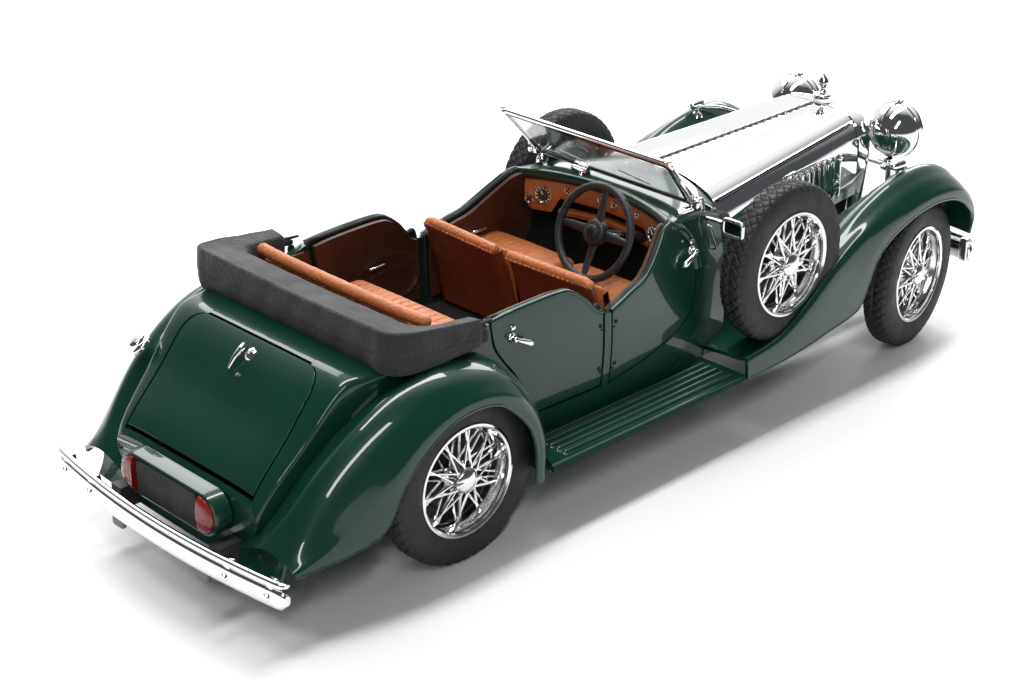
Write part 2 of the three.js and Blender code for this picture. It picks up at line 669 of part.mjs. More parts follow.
const lugOuterY = kingpinY + kingpinRadius + 0.2;
const lugInnerY = kingpinY - kingpinRadius - 1;
const bossHalf = 2.4;
const beamZ = wheelZ + 0.2;
let beam = box(wheelbase - 1.5, wheelbase + 1.5, -lugInnerY, lugInnerY, beamZ - 1.5, beamZ + 1.5);
for (const side of [-1, 1]) {
  const inner = side * (lugInnerY - 1);
  const outer = side * lugOuterY;
  const [low, high] = [Math.min(inner, outer), Math.max(inner, outer)];
  const fork = box(wheelbase - 1.3, wheelbase + 1.3, low, high, wheelZ - bossHalf - 1.5, wheelZ + bossHalf + 1.5);
  const jawInner = side * (lugInnerY - 0.1);
  const [jawLow, jawHigh] = [Math.min(jawInner, outer * 1.1), Math.max(jawInner, outer * 1.1)];
  const jaw = box(
    wheelbase - 3,
    wheelbase + 3,
    jawLow,
    jawHigh,
    wheelZ - bossHalf - gap,
    wheelZ + bossHalf + gap,
  );
  beam = beam.add(fork).subtract(jaw);
}
part("front_axle_beam", beam, "steel");

const armBack = 9.5;
const armIn = 4.2;
const armZ = wheelZ - 1;
const armHeight = 1.2;
function knuckle(side) {
  const boss = rod([0, 0, wheelZ - bossHalf], [0, 0, wheelZ + bossHalf], kingpinRadius, 12);
  const stub = rod([0, 0, wheelZ], [0, side * (wheelY - kingpinY + 0.2), wheelZ], axleRadius);
  const arm = fromPlan(
    [[0, -0.7], [0, 0.7], [-armBack, -side * armIn + 0.7], [-armBack - 1, -side * armIn], [-armBack, -side * armIn - 0.7]],
    armZ - armHeight / 2,
    armZ + armHeight / 2,
  );
  return join(boss, stub, arm);
}

const rodShift = -armBack * Math.sin(radians(steerAtRest));
const rodZ = armZ + armHeight / 2 + 0.5;
const rodHalf = kingpinY - armIn + 0.8;
const rodX = wheelbase - armBack;
part("track_rod", box(rodX - 0.7, rodX + 0.7, rodShift - rodHalf, rodShift + rodHalf, rodZ, rodZ + 1), "steel");

// ---- Wheels --------------------------------------------------------------------------------------
// Turned about Y through the wheel's centre, with the outer face towards +Y.
const beadRadius = rimRadius + gap;
const tyreHalf = tyreWidth / 2;
const tyreSides = 24;
const tyreProfile = [
  [beadRadius, -tyreHalf + 0.7],
  [beadRadius + 2.2, -tyreHalf],
  [tyreRadius - 1.2, -tyreHalf + 0.3],
  [tyreRadius, -tyreHalf + 1.2],
  [tyreRadius, tyreHalf - 1.2],
  [tyreRadius - 1.2, tyreHalf - 0.3],
  [beadRadius + 2.2, tyreHalf],
  [beadRadius, tyreHalf - 0.7],
  [beadRadius, -tyreHalf + 0.7],
];
const rimHalf = rimWidth / 2;
const boreRadius = axleRadius + axlePlay;
const wheelProfile = [
  [0, 0.6],
  [boreRadius, 0.6],
  [boreRadius, -hubInnerY],
  [hubRadius - 0.6, -hubInnerY],
  [hubRadius, 1.2],
  [rimRadius - 1.2, -0.4],
  [rimRadius - 1, -rimHalf],
  [rimRadius, -rimHalf],
  [rimRadius, rimHalf],
  [rimRadius - 0.8, rimHalf],
  [rimRadius - 1.2, 0.4],
  [hubRadius, 2.2],
  [hubRadius - 0.5, 3.2],
  [1.2, 3.6],
  [0, 3.6],
];

function mountWheel(tyreName, wheelName, parent, x, y, z, side) {
  const holder = new THREE.Group();
  holder.position.set(x, y, z);
  if (side < 0) holder.rotation.z = Math.PI;
  parent.add(holder);
  part(tyreName, geometryOf(solid(turnedOnFlat(tyreProfile, tyreSides))), "rubber", holder);
  part(wheelName, geometryOf(solid(turned(wheelProfile, tyreSides))), "chrome", holder);
}

for (const [name, side] of [["left", 1], ["right", -1]]) {
  mountWheel("tyre_rear_" + name, "wire_wheel_rear_" + name, car, 0, side * wheelY, wheelZ, side);
  const swivel = new THREE.Group();
  swivel.position.set(wheelbase, side * kingpinY, 0);
  swivel.rotation.z = radians(steerAtRest);
  car.add(swivel);
  part("steering_knuckle_" + name, knuckle(side), "steel", swivel);
  const reach = side * (wheelY - kingpinY);
  mountWheel("tyre_front_" + name, "wire_wheel_front_" + name, swivel, 0, reach, wheelZ, side);
}

// A spare is one piece: the same tyre round a closed rim, so its bore reaches the tyre.
const spareProfile = [
  [0, 1.2],
  [hubRadius, 1.2],
  [rimRadius - 1.2, -0.4],
  [rimRadius - 1, -rimHalf],
  ...tyreProfile.slice(0, 8),
  [rimRadius - 0.8, rimHalf],
  [rimRadius - 1.2, 0.4],
  [hubRadius, 2.2],
  [hubRadius - 0.5, 3.2],
  [0, 3.6],
];
for (const [name, side] of [["left", 1], ["right", -1]]) {
  const holder = new THREE.Group();
  holder.position.set(spareX, side * spareY, spareHeight);
  if (side < 0) holder.rotation.z = Math.PI;
  car.add(holder);
  part("spare_wheel_" + name, geometryOf(solid(turnedOnFlat(spareProfile, tyreSides))), "rubber", holder);
}

// ---- Bonnet halves -------------------------------------------------------------------------------
const bonnetBottomZ = 31;
const bonnetRear = [[0.3, 48.2], [6, 47.9], [11, 46.9], [15.5, 44.9], [17.8, 42], [18.7, 37.5], [19.2, bonnetBottomZ]];
const bonnetFront = [[0.3, 49], [4, 48.9], [7.2, 48.6], [9.8, 47.9], [12, 45], [12.7, 41], [13, bonnetBottomZ]];
const bonnetSteps = 4;
const bonnetGrid = [];
for (let i = 0; i <= bonnetSteps; i++) {
  const share = i / bonnetSteps;
  const x = lerp(scuttleX + gap, bonnetFrontX, share);
  bonnetGrid.push(
    bonnetRear.map(([y, z], k) =>
      new THREE.Vector3(x, -lerp(y, bonnetFront[k][0], share), lerp(z, bonnetFront[k][1], share)),
    ),
  );
}
pair("bonnet", sheet(bonnetGrid, panelWall, 1), "chrome");

// ---- Radiator ------------------------------------------------------------------------------------
const radiatorRearX = bonnetFrontX + gap;
const radiatorDepth = 4.8;
const radiatorWall = 1.6;
function radiatorOutline(inset) {
  const half = [[0, 49.2], [5, 48.9], [9.2, 48.1], [11.8, 45.6], [12.7, 41.5], [12.4, 33], [11.4, 23], [10.5, 19.2]];
  const scale = (y, z) => [y * (1 - inset / 12.7), lerp(z, 33, inset / 15.6)];
  const right = half.map(([y, z]) => scale(y, z));
  return [...right.slice(1).reverse(), right[0], ...right.slice(1).map(([y, z]) => [-y, z])];
}
const shellBlank = fromFront(radiatorOutline(0), radiatorRearX, radiatorRearX + radiatorDepth);
const shellHole = fromFront(radiatorOutline(radiatorWall), radiatorRearX - 1, radiatorRearX + radiatorDepth + 1);
part("radiator_shell", shellBlank.subtract(shellHole), "chrome");

const coreFrontX = radiatorRearX + radiatorDepth - 1.4;
const coreOutline = radiatorOutline(radiatorWall + gap);
let grille = fromFront(coreOutline, radiatorRearX + 0.6, coreFrontX);
const slatPitch = 1.8;
for (let i = -4; i <= 4; i++) {
  const y = i * slatPitch;
  grille = grille.add(box(coreFrontX - 0.2, coreFrontX + 0.8, y - 0.3, y + 0.3, 22, 44.5));
}
part("radiator_grille", grille, "chrome");

// A plain turned finial on the filler cap.
const finial = [[0, 0], [2.1, 0], [2.1, 0.8], [1.1, 1.2], [0.6, 1.9], [1.3, 3.1], [1.0, 4.1], [0, 5.4]];
const mascot = turned(finial, 12);
mascot.rotateX(Math.PI / 2).translate(radiatorRearX + 2.8, 0, 49.2 + gap);
part("radiator_mascot", solid(mascot), "chrome");

// ---- Engine --------------------------------------------------------------------------------------
const engine = join(
  box(90, bonnetFrontX - 13, -5, 5, railTop + 3, 33),
  box(92, bonnetFrontX - 15, -3.6, 3.6, 32.5, 40.5),
  box(94, bonnetFrontX - 17, -2, 2, 40, 42.4),
  box(scuttleX + 0.6, 91, -3.4, 3.4, railTop + 4, 26),
  box(96, bonnetFrontX - 19, -8, -4, 27, 30.5),
  rod([bonnetFrontX - 13.5, 0, 30], [bonnetFrontX - 6, 0, 30], 1.2),
  rod([bonnetFrontX - 8.5, 0, 30], [bonnetFrontX - 7.2, 0, 30], 8.4, 16),
);
part("engine_block", engine, "engine");

// ---- Lamps ---------------------------------------------------------------------------------------
const lampY = 14;
const lampZ = 43.3;
const lampTipX = radiatorRearX + radiatorDepth + 0.6;
const lampDepth = 8.2;
const bowlProfile = [
  [0, 0],
  [2.6, 0.4],
  [4.6, 1.6],
  [5.9, 3.6],
  [lampRadius, 6],
  [lampRadius, lampDepth],
  [lampRadius - 0.7, lampDepth],
  [lampRadius - 0.7, 6],
  [5.2, 4],
  [4, 2.3],
  [2.2, 1.2],
  [0, 0.9],
];
const lensProfile = [
  [0, lampDepth - 0.5],
  [lampRadius - 1, lampDepth - 0.5],
  [lampRadius - 1, lampDepth],
  [4, lampDepth + 0.5],
  [0, lampDepth + 0.8],
];
const lampTurn = (profile) =>
  solid(turned(profile, 20).rotateZ(-Math.PI / 2).translate(lampTipX, -lampY, lampZ));
pair("headlamp_bowl", lampTurn(bowlProfile), "chrome");
pair("headlamp_lens", lampTurn(lensProfile), "glass");

const barX = lampTipX + 4.2;
const barZ = lampZ - lampRadius - 1.3;
const barHalf = apronY + 3.4;
const posts = [-1, 1].map((side) =>
  rod([barX, side * lampY, barZ], [barX, side * lampY, lampZ - lampRadius - gap - 0.05], 0.9),
);
const stays = [-1, 1].map((side) =>
  rod([barX, side * (railOuterY - 1.5), railTop + gap], [barX, side * (railOuterY - 1.5), barZ], 0.7, 8),
);
const lampBar = join(rod([barX, -barHalf, barZ], [barX, barHalf, barZ], 0.8), ...posts, ...stays);
part("lamp_bar", lampBar.subtract(sheet(frontWingGrid, wingWall + gap, 1)), "chrome");

// ---- Bumpers -------------------------------------------------------------------------------------
// A bumper is two bowed bars joined by blocks; the face is furthest out at the middle.
function bumper(faceX, inward, bowRate, halfWidth, barHeights, blockYs) {
  const thick = 1.2;
  const steps = 10;
  const outer = [];
  const inner = [];
  for (let i = 0; i <= steps; i++) {
    const y = lerp(-halfWidth, halfWidth, i / steps);
    const x = faceX + inward * bowRate * y * y;
    outer.push([x, y]);
    inner.unshift([x + inward * thick, y]);
  }
  const bars = barHeights.map(([low, high]) => fromPlan([...outer, ...inner], low, high));
  const low = barHeights[0][0] + 0.6;
  const high = barHeights.at(-1)[1] - 0.6;
  const blocks = blockYs.map((y) => {
    const x = faceX + inward * (bowRate * y * y + 0.3);
    return box(Math.min(x, x + inward * 1.9), Math.max(x, x + inward * 1.9), y - 1.2, y + 1.2, low, high);
  });
  return join(...bars, ...blocks);
}
const frontFace = wheelbase + frontOverhang;
const rearFace = -rearOverhang;
part("front_bumper", bumper(frontFace, -1, 0.0014, 30, [[12.6, 15.5], [16, 18.9]], [-28, -14.5, 14.5, 28]), "chrome");
part("rear_bumper", bumper(rearFace, 1, 0.0025, 33.4, [[9.6, 12], [12.5, 14.9]], [-29.8, -14.5, 14.5, 29.8]), "chrome");

// ---- Number plate box and tail lamps -------------------------------------------------------------
const plateHalf = 14.1;
const plateTop = 22;
const plateBottom = 13.8;
const plateFrontX = tailX - gap;
const plateRearX = plateFrontX - 3.3;
const plateMiddleZ = (plateTop + plateBottom) / 2;
const plateRound = (plateTop - plateBottom) / 2;
function stadium(halfLength, radius) {
  const points = [];
  for (const [side, from] of [[1, -90], [-1, 90]]) {
    for (let i = 0; i <= 6; i++) {
      const turn = radians(from + i * 30);
      points.push([
        side * (halfLength - radius) + radius * Math.cos(turn),
        plateMiddleZ + radius * Math.sin(turn),
      ]);
    }
  }
  return points;
}
part("number_plate_box", fromFront(stadium(plateHalf, plateRound), plateRearX, plateFrontX), "paint");
const lampBlank = fromFront(stadium(plateHalf - 0.6, plateRound - 0.6), plateRearX - gap - 0.7, plateRearX - gap);
pair("tail_lamp", lampBlank.intersect(box(-60, 0, -20, -plateHalf + 4.4, 0, 30)), "lens");

// ---- Fuel filler cap, on the left rear wing ------------------------------------------------------
const capProfile = [[0, 0], [1.9, 0], [1.9, 0.6], [1.4, 1.3], [0, 1.6]];
const cap = turned(capProfile, 14).rotateX(Math.PI / 2).rotateX(radians(-30)).rotateY(radians(-35));
const capSeat = solid(cap.translate(-29, 25.6, 33.4));
part("fuel_filler_cap", capSeat, "chrome");

// ---- Cockpit -------------------------------------------------------------------------------------
const liner = bodyLoft(cockpitRearX + gap, scuttleX - 3.4 - gap, wall + gap, 5);
const seatSpace = bodyLoft(cockpitRearX + 0.1, scuttleX - 4, wall + gap + cardThickness + gap, 5).add(
  box(cockpitRearX + 0.1, dashX, -bodyWidth / 2 + 6.4, bodyWidth / 2 - 6.4, 36, 60),
);
const axleRoom = join(
  wheelHouse(tyreRadius + wheelPlay + wall + gap, -bodyWidth, -houseInnerY + wall + gap),
  wheelHouse(tyreRadius + wheelPlay + wall + gap, houseInnerY - wall - gap, bodyWidth),
);
part(
  "cockpit_floor",
  liner.intersect(box(-60, 200, -60, 60, floorHeight, floorHeight + 1)).subtract(axleRoom),
  "carpet",
);

const dashBand = fromPlan(
  [...bow(dashX + 0.6, dashHalf + 2), ...bow(dashX + 1.8, dashHalf + 2).reverse()],
  37.2,
  60,
);
const dashArch = box(dashX - 5, dashX + 12, -12.6, 12.6, 30, 40.4);
part("dashboard", dashBand.intersect(seatSpace).subtract(dashArch), "leather");

// Seats: side outlines drawn out across the car, then trimmed to the space between the doors.
const seatBase = floorHeight + 1 + gap;
const frontSeatOutline = [
  [44, seatBase],
  [58, seatBase],
  [60, 30],
  [58.5, 32.6],
  [47.5, 31.6],
  [40.6, 40.2],
  [38, 41.2],
  [36.4, 40],
  [38.4, 30],
];
const seatInnerY = 1.2;
const seatOuterY = bodyWidth / 2 - 2;
pair("front_seat", fromSide(frontSeatOutline, -seatOuterY, -seatInnerY).intersect(seatSpace), "leather");

const rearSeatOutline = [
  [1.5, seatBase],
  [19, seatBase],
  [20.6, 31.2],
  [18.8, 33.6],
  [6.6, 33],
  [-0.6, 45],
  [-3, 46.7],
  [-5.2, 46],
  [-5.4, 43],
  [-1.6, 28],
];
const rearSeat = fromSide(rearSeatOutline, -seatOuterY, seatOuterY).intersect(seatSpace).subtract(axleRoom);
part("rear_seat", rearSeat, "leather");

// ---- Folded hood ---------------------------------------------------------------------------------
// A U of folded fabric: a bundle across behind the rear seat, with an arm forward on each side.
const hoodBottom = 41.3;
const hoodTop = 48.2;
const hoodOuter = [[-15.2, 22], [-14.6, 26], [-11.5, 28], [-4, 28.6], [5, 29.3]];
const hoodInner = [[5, 25.2], [-3, 24.6], [-6.2, 23.2], [-6.4, 0]];
const hoodHalf = [...hoodOuter, ...hoodInner];
const hoodPlan = [...hoodHalf, ...hoodHalf.slice(0, -1).reverse().map(([x, y]) => [x, -y])];
const hoodBlank = fromPlan(hoodPlan, hoodBottom - 2, hoodTop).subtract(
  fromSide([[-20, 48.3], [-12, 48.3], [-3, 46.6], [8, 45.4], [8, 60], [-20, 60]], -50, 50),
);
const wingShadow = sheet(rearWingGrid, wingWall, 1).add(otherSideSolid(sheet(rearWingGrid, wingWall, 1)));
function otherSideSolid(made) {
  return solid(otherSide(geometryOf(made)));
}
const wingLift = solid(geometryOf(wingShadow.translate([0, 0, gap])));
const hood = hoodBlank
  .subtract(bodyKeepOut.subtract(aboveBelt.translate([0, 0, gap])))
  .subtract(wingShadow)
  .subtract(wingLift);
part("folded_hood", hood, "cloth");

// ---- Steering wheel and column -------------------------------------------------------------------
const hubPlace = new THREE.Vector3(51.5, steeringInset - bodyWidth / 2, 43.6);
const columnSlope = 20; // degrees down towards the nose
const wheelTube = 0.75;
const steeringGroup = new THREE.Group();
steeringGroup.position.copy(hubPlace);
steeringGroup.rotation.y = radians(columnSlope);
car.add(steeringGroup);
const ring = new THREE.TorusGeometry(steeringWheelRadius - wheelTube, wheelTube, 8, 28).rotateY(Math.PI / 2);
const spokes = [0, 90, 180, 270].map((turn) => {
  const reach = steeringWheelRadius - wheelTube;
  const [y, z] = [reach * Math.cos(radians(turn)), reach * Math.sin(radians(turn))];
  return rod([0.9, 0, 0], [0, y, z], 0.55, 6);
});
part(
  "steering_wheel",
  join(solid(ring), ...spokes, rod([-0.8, 0, 0], [2.2, 0, 0], 2, 14)),
  "plastic",
  steeringGroup,
);
const columnLength = (scuttleX - 4.4 - hubPlace.x) / Math.cos(radians(columnSlope)) - 1.2;
part("steering_column", rod([2.2 + gap, 0, 0], [columnLength, 0, 0], 0.9, 10), "plastic", steeringGroup);

// ---- Windscreen ----------------------------------------------------------------------------------
// Drawn flat, with its pivot line at the origin, then raked back.
const screenGroup = new THREE.Group();
screenGroup.position.set(68.5, 0, 48.2);
screenGroup.rotation.y = -radians(screenRake);
car.add(screenGroup);
const screenFoot = -1;
const frameBar = 0.9;
const screenHalf = (z, inset) => lerp(21.2, 22.9, z / screenArm) - inset;
const screenOutline = (inset) => {
  const low = screenFoot + inset;
  const high = screenArm - inset;
  return [
    [-screenHalf(low, inset), low],
    [screenHalf(low, inset), low],
    [screenHalf(high, inset), high],
    [-screenHalf(high, inset), high],
  ];
};
const frameSolid = fromFront(screenOutline(0), -0.55, 0.55).subtract(fromFront(screenOutline(frameBar), -2, 2));
part("windscreen_frame", frameSolid, "chrome", screenGroup);
part("windscreen_glass", fromFront(screenOutline(frameBar + gap), -0.2, 0.2), "glass", screenGroup);

// ---- Door mirror, on an arm from the right of the scuttle ----------------------------------------
const mirror = join(
  box(69, 69.9, -33.2, -28, 43.2, 46.8),
  rod([69.8, -29, 45], [71.4, -24.4, 44.4], 0.5, 8),
).subtract(bodyKeepOut);
part("door_mirror", mirror, "chrome");

// ---- Origin at the middle of the footprint -------------------------------------------------------
car.position.x = -(wheelbase + frontOverhang - rearOverhang) / 2;
const part3d = new THREE.Group();
part3d.add(car);

export default part3d;
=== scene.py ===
# A 1:24 diecast model of a late 1930s open tourer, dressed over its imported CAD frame.
# Sections follow the model as it is put together: body, wings, wheels, bonnet, lamps, cockpit, hood.
import json

import bmesh
import bpy
import numpy as np
from mathutils import Matrix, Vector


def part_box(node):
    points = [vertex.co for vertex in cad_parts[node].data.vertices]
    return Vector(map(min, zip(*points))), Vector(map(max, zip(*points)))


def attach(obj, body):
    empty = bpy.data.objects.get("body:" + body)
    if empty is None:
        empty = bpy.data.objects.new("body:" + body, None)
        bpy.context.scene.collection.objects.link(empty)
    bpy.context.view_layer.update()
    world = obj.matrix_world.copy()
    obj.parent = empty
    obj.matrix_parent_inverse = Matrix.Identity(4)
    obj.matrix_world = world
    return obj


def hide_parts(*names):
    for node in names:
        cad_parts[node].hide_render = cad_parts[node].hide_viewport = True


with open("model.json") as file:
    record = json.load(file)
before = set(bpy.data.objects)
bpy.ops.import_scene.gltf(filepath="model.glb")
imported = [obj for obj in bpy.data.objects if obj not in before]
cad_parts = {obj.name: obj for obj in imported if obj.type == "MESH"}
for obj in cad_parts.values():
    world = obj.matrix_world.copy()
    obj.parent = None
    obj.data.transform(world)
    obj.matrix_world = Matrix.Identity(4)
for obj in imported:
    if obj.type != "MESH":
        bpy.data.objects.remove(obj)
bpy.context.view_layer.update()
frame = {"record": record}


# ---- Ground, lights and camera -------------------------------------------------------------------
# The model stands on a plain pale sheet under long soft boxes. The room is bright on its far side
# and dark elsewhere, so that bright metal has something to reflect.
def floor_material():
    material = bpy.data.materials.new("pale_sheet")
    material.use_nodes = True
    shader = material.node_tree.nodes["Principled BSDF"]
    shader.inputs["Base Color"].default_value = (0.8, 0.8, 0.805, 1)
    shader.inputs["Roughness"].default_value = 0.55
    return material


floor_half = 4.0
floor_mesh = bpy.data.meshes.new("ground")
floor_mesh.from_pydata(
    [
        (-floor_half, -floor_half, 0),
        (floor_half, -floor_half, 0),
        (floor_half, floor_half, 0),
        (-floor_half, floor_half, 0),
    ],
    [],
    [(0, 1, 2, 3)],
)
ground = bpy.data.objects.new("ground", floor_mesh)
bpy.context.collection.objects.link(ground)
floor_mesh.materials.append(floor_material())

world = bpy.data.worlds.new("studio")
bpy.context.scene.world = world
world.use_nodes = True
sky = world.node_tree
sky.nodes.clear()
sky_out = sky.nodes.new("ShaderNodeOutputWorld")
sky_light = sky.nodes.new("ShaderNodeBackground")
sky_place = sky.nodes.new("ShaderNodeTexCoord")
sky_facing = sky.nodes.new("ShaderNodeVectorMath")
sky_ramp = sky.nodes.new("ShaderNodeValToRGB")
sky_facing.operation = "DOT_PRODUCT"
sky_facing.inputs[1].default_value = (0.62, 0.62, 0.48)
sky.links.new(sky_place.outputs["Generated"], sky_facing.inputs[0])
sky.links.new(sky_facing.outputs["Value"], sky_ramp.inputs["Fac"])
sky.links.new(sky_ramp.outputs["Color"], sky_light.inputs["Color"])
sky.links.new(sky_light.outputs[0], sky_out.inputs["Surface"])
sky_ramp.color_ramp.elements[0].position = 0.35
sky_ramp.color_ramp.elements[0].color = (0.07, 0.075, 0.08, 1)
sky_ramp.color_ramp.elements[1].position = 0.8
sky_ramp.color_ramp.elements[1].color = (1.0, 1.0, 1.0, 1)
sky_light.inputs["Strength"].default_value = 1.0


def soft_box(name, place, aim, size, power):
    """An area light at place, turned to face aim."""
    data = bpy.data.lights.new(name, "AREA")
    data.shape = "RECTANGLE"
    data.size, data.size_y = size
    data.energy = power
    lamp = bpy.data.objects.new(name, data)
    bpy.context.collection.objects.link(lamp)
    place, aim = np.array(place, float), np.array(aim, float)
    back = (place - aim) / np.linalg.norm(place - aim)
    side = np.cross([0, 1, 0.01], back)
    side /= np.linalg.norm(side)
    up = np.cross(back, side)
    turn = np.eye(4)
    turn[:3, 0], turn[:3, 1], turn[:3, 2], turn[:3, 3] = side, up, back, place
    lamp.matrix_world = Matrix(turn.tolist())


soft_box("overhead_box", (0.05, 0.05, 1.0), (0, 0, 0), (1.1, 0.16), 10.0)
soft_box("far_box", (0.5, 0.9, 0.8), (0, 0, 0), (1.2, 0.5), 9.0)
soft_box("side_box", (-0.7, -0.8, 0.9), (0, 0, 0.02), (0.9, 0.12), 6.0)
soft_box("nose_box", (0.9, 0.35, 0.6), (0.05, 0, 0.03), (0.5, 0.4), 4.5)

camera_place = np.array([-0.26163, -0.2529, 0.18423])
azimuth, elevation, roll = np.radians([-44.364, 25.173, 0.329])
camera_back = np.array(
    [np.sin(azimuth) * np.cos(elevation), -np.cos(azimuth) * np.cos(elevation), np.sin(elevation)]
)
level_side = np.cross([0, 0, 1], camera_back)
level_side /= np.linalg.norm(level_side)
level_up = np.cross(camera_back, level_side)
camera_side = np.cos(roll) * level_side + np.sin(roll) * level_up
camera_up = -np.sin(roll) * level_side + np.cos(roll) * level_up
camera_turn = np.eye(4)
camera_turn[:3, :4] = np.stack([camera_side, camera_up, camera_back, camera_place], axis=1)
camera_data = bpy.data.cameras.new("viewpoint")
camera_data.lens = 68.57
camera_data.sensor_width = 36
camera_data.clip_start = 0.01
camera = bpy.data.objects.new("viewpoint", camera_data)
bpy.context.collection.objects.link(camera)
camera.matrix_world = Matrix(camera_turn.tolist())
bpy.context.scene.camera = camera
bpy.context.scene.view_settings.view_transform = "Standard"


# ---- Body: scuttle, sills, pillars and tail ------------------------------------------------------
# One zinc casting under a glossy deep green enamel. Lengths here are millimetres from the rear
# axle's line on the ground, as on a drawing, and become metres in the frame when a mesh is made.
joint_place = {j["name"]: j.get("pos_m") for j in frame["record"]["behaviour"]["joints"]}
rear_axle_x = joint_place["wheel_rear_left_spin"][0] * 1000
front_axle_x = joint_place["knuckle_left_steer"][0] * 1000 - rear_axle_x
tyre_low, tyre_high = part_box("tyre_rear_left")
axle_height = joint_place["wheel_rear_left_spin"][2] * 1000
wheel_y = joint_place["wheel_rear_left_spin"][1] * 1000
body_low, body_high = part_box("body_shell")
body_half = max(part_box("door_rear_left")[1].y, body_high.y) * 1000 + 0.03
tail_x = body_low.x * 1000 - rear_axle_x
scuttle_x = body_high.x * 1000 - rear_axle_x


def make_piece(name, shells, body, material, bevel=0.0, levels=0, sharp=38, closed=True):
    """One object from (points in mm, list of face arrays) shells, riding on a body."""
    mesh = bpy.data.meshes.new(name)
    points = np.concatenate([np.reshape(p, (-1, 3)) for p, _ in shells]).astype(float)
    points[:, 0] += rear_axle_x
    corners, totals, offset = [], [], 0
    for p, blocks in shells:
        for block in blocks:
            corners.append((block + offset).ravel())
            totals.append(np.full(len(block), block.shape[1]))
        offset += np.reshape(p, (-1, 3)).shape[0]
    corners, totals = np.concatenate(corners), np.concatenate(totals)
    mesh.vertices.add(len(points))
    mesh.vertices.foreach_set("co", (points / 1000).ravel())
    mesh.loops.add(len(corners))
    mesh.loops.foreach_set("vertex_index", corners.astype(np.int32))
    mesh.polygons.add(len(totals))
    mesh.polygons.foreach_set("loop_start", np.concatenate([[0], np.cumsum(totals)[:-1]]).astype(np.int32))
    mesh.update(calc_edges=True)
    mesh.validate()
    work = bmesh.new()
    work.from_mesh(mesh)
    bmesh.ops.remove_doubles(work, verts=work.verts, dist=2e-6)
    if closed:
        bmesh.ops.recalc_face_normals(work, faces=work.faces)
    work.to_mesh(mesh)
    work.free()
    mesh.polygons.foreach_set("use_smooth", np.ones(len(mesh.polygons), bool))
    mesh.set_sharp_from_angle(angle=np.radians(sharp))
    piece = bpy.data.objects.new(name, mesh)
    bpy.context.collection.objects.link(piece)
    mesh.materials.append(material)
    if bevel:
        edge = piece.modifiers.new("soft_edge", "BEVEL")
        edge.width = bevel / 1000
        edge.segments = 2
        edge.limit_method = "ANGLE"
        edge.angle_limit = np.radians(40)
    if levels:
        rounded = piece.modifiers.new("rounded", "SUBSURF")
        rounded.levels = rounded.render_levels = levels
    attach(piece, body)
    return piece


def grid_faces(rows, columns, wrap_rows=False, wrap_columns=False):
    """Quads of a grid stored row by row, joined round where it wraps."""
    i = np.arange(rows if wrap_rows else rows - 1)[:, None]
    j = np.arange(columns if wrap_columns else columns - 1)[None, :]
    below, right = (i + 1) % rows, (j + 1) % columns
    quads = [i * columns + j, below * columns + j, below * columns + right, i * columns + right]
    return np.stack(np.broadcast_arrays(*quads), axis=-1).reshape(-1, 4)


def moved_along_normals(grid, depth):
    """The grid moved by depth (mm) along the cross product of its row and column directions."""
    normal = np.cross(np.gradient(grid, axis=0), np.gradient(grid, axis=1))
    normal /= np.linalg.norm(normal, axis=-1, keepdims=True) + 1e-12
    return grid + normal * depth


def plate(grid, thickness):
    """A closed plate: the grid, and the same grid moved along its normals by thickness (mm)."""
    rows, columns = grid.shape[:2]
    inner = moved_along_normals(grid, thickness)
    count = rows * columns
    faces = grid_faces(rows, columns)
    rim = np.concatenate(
        [
            np.arange(columns - 1),
            np.arange(rows - 1) * columns + columns - 1,
            (rows - 1) * columns + np.arange(columns - 1, 0, -1),
            np.arange(rows - 1, 0, -1) * columns,
        ]
    )
    after = np.roll(rim, -1)
    side = np.stack([rim, after, after + count, rim + count], axis=-1)
    return np.concatenate([grid.reshape(-1, 3), inner.reshape(-1, 3)]), [faces, faces[:, ::-1] + count, side]


def smooth_curve(points, count):
    """A Catmull-Rom curve through the points, sampled evenly between them."""
    points = np.asarray(points, float)
    ends = [2 * points[:1] - points[1:2], points, 2 * points[-1:] - points[-2:-1]]
    held = np.concatenate(ends)
    place = np.linspace(0, len(points) - 1, count)
    i = np.minimum(place.astype(int), len(points) - 2)
    t = (place - i).reshape((-1,) + (1,) * (points.ndim - 1))
    a, b, c, d = held[i], held[i + 1], held[i + 2], held[i + 3]
    return 0.5 * (2 * b + (c - a) * t + (2 * a - 5 * b + 4 * c - d) * t**2 + (3 * b - a - 3 * c + d) * t**3)


def eased(knots, values, x):
    """A cubic through the knots whose slope is the mean of both sides, and nil at a turn."""
    rise = np.diff(values, axis=0) / np.diff(knots).reshape((-1,) + (1,) * (values.ndim - 1))
    slope = np.concatenate([rise[:1], (rise[:-1] + rise[1:]) / 2, rise[-1:]])
    slope[1:-1] = np.where(rise[:-1] * rise[1:] <= 0, 0, slope[1:-1])
    i = np.clip(np.searchsorted(knots, x) - 1, 0, len(knots) - 2)
    width = (knots[i + 1] - knots[i])[..., None]
    t = (np.asarray(x) - knots[i])[..., None] / width
    return (
        values[i] * (2 * t**3 - 3 * t**2 + 1)
        + values[i + 1] * (3 * t**2 - 2 * t**3)
        + slope[i] * width * (t**3 - 2 * t**2 + t)
        + slope[i + 1] * width * (t**3 - t**2)
    )


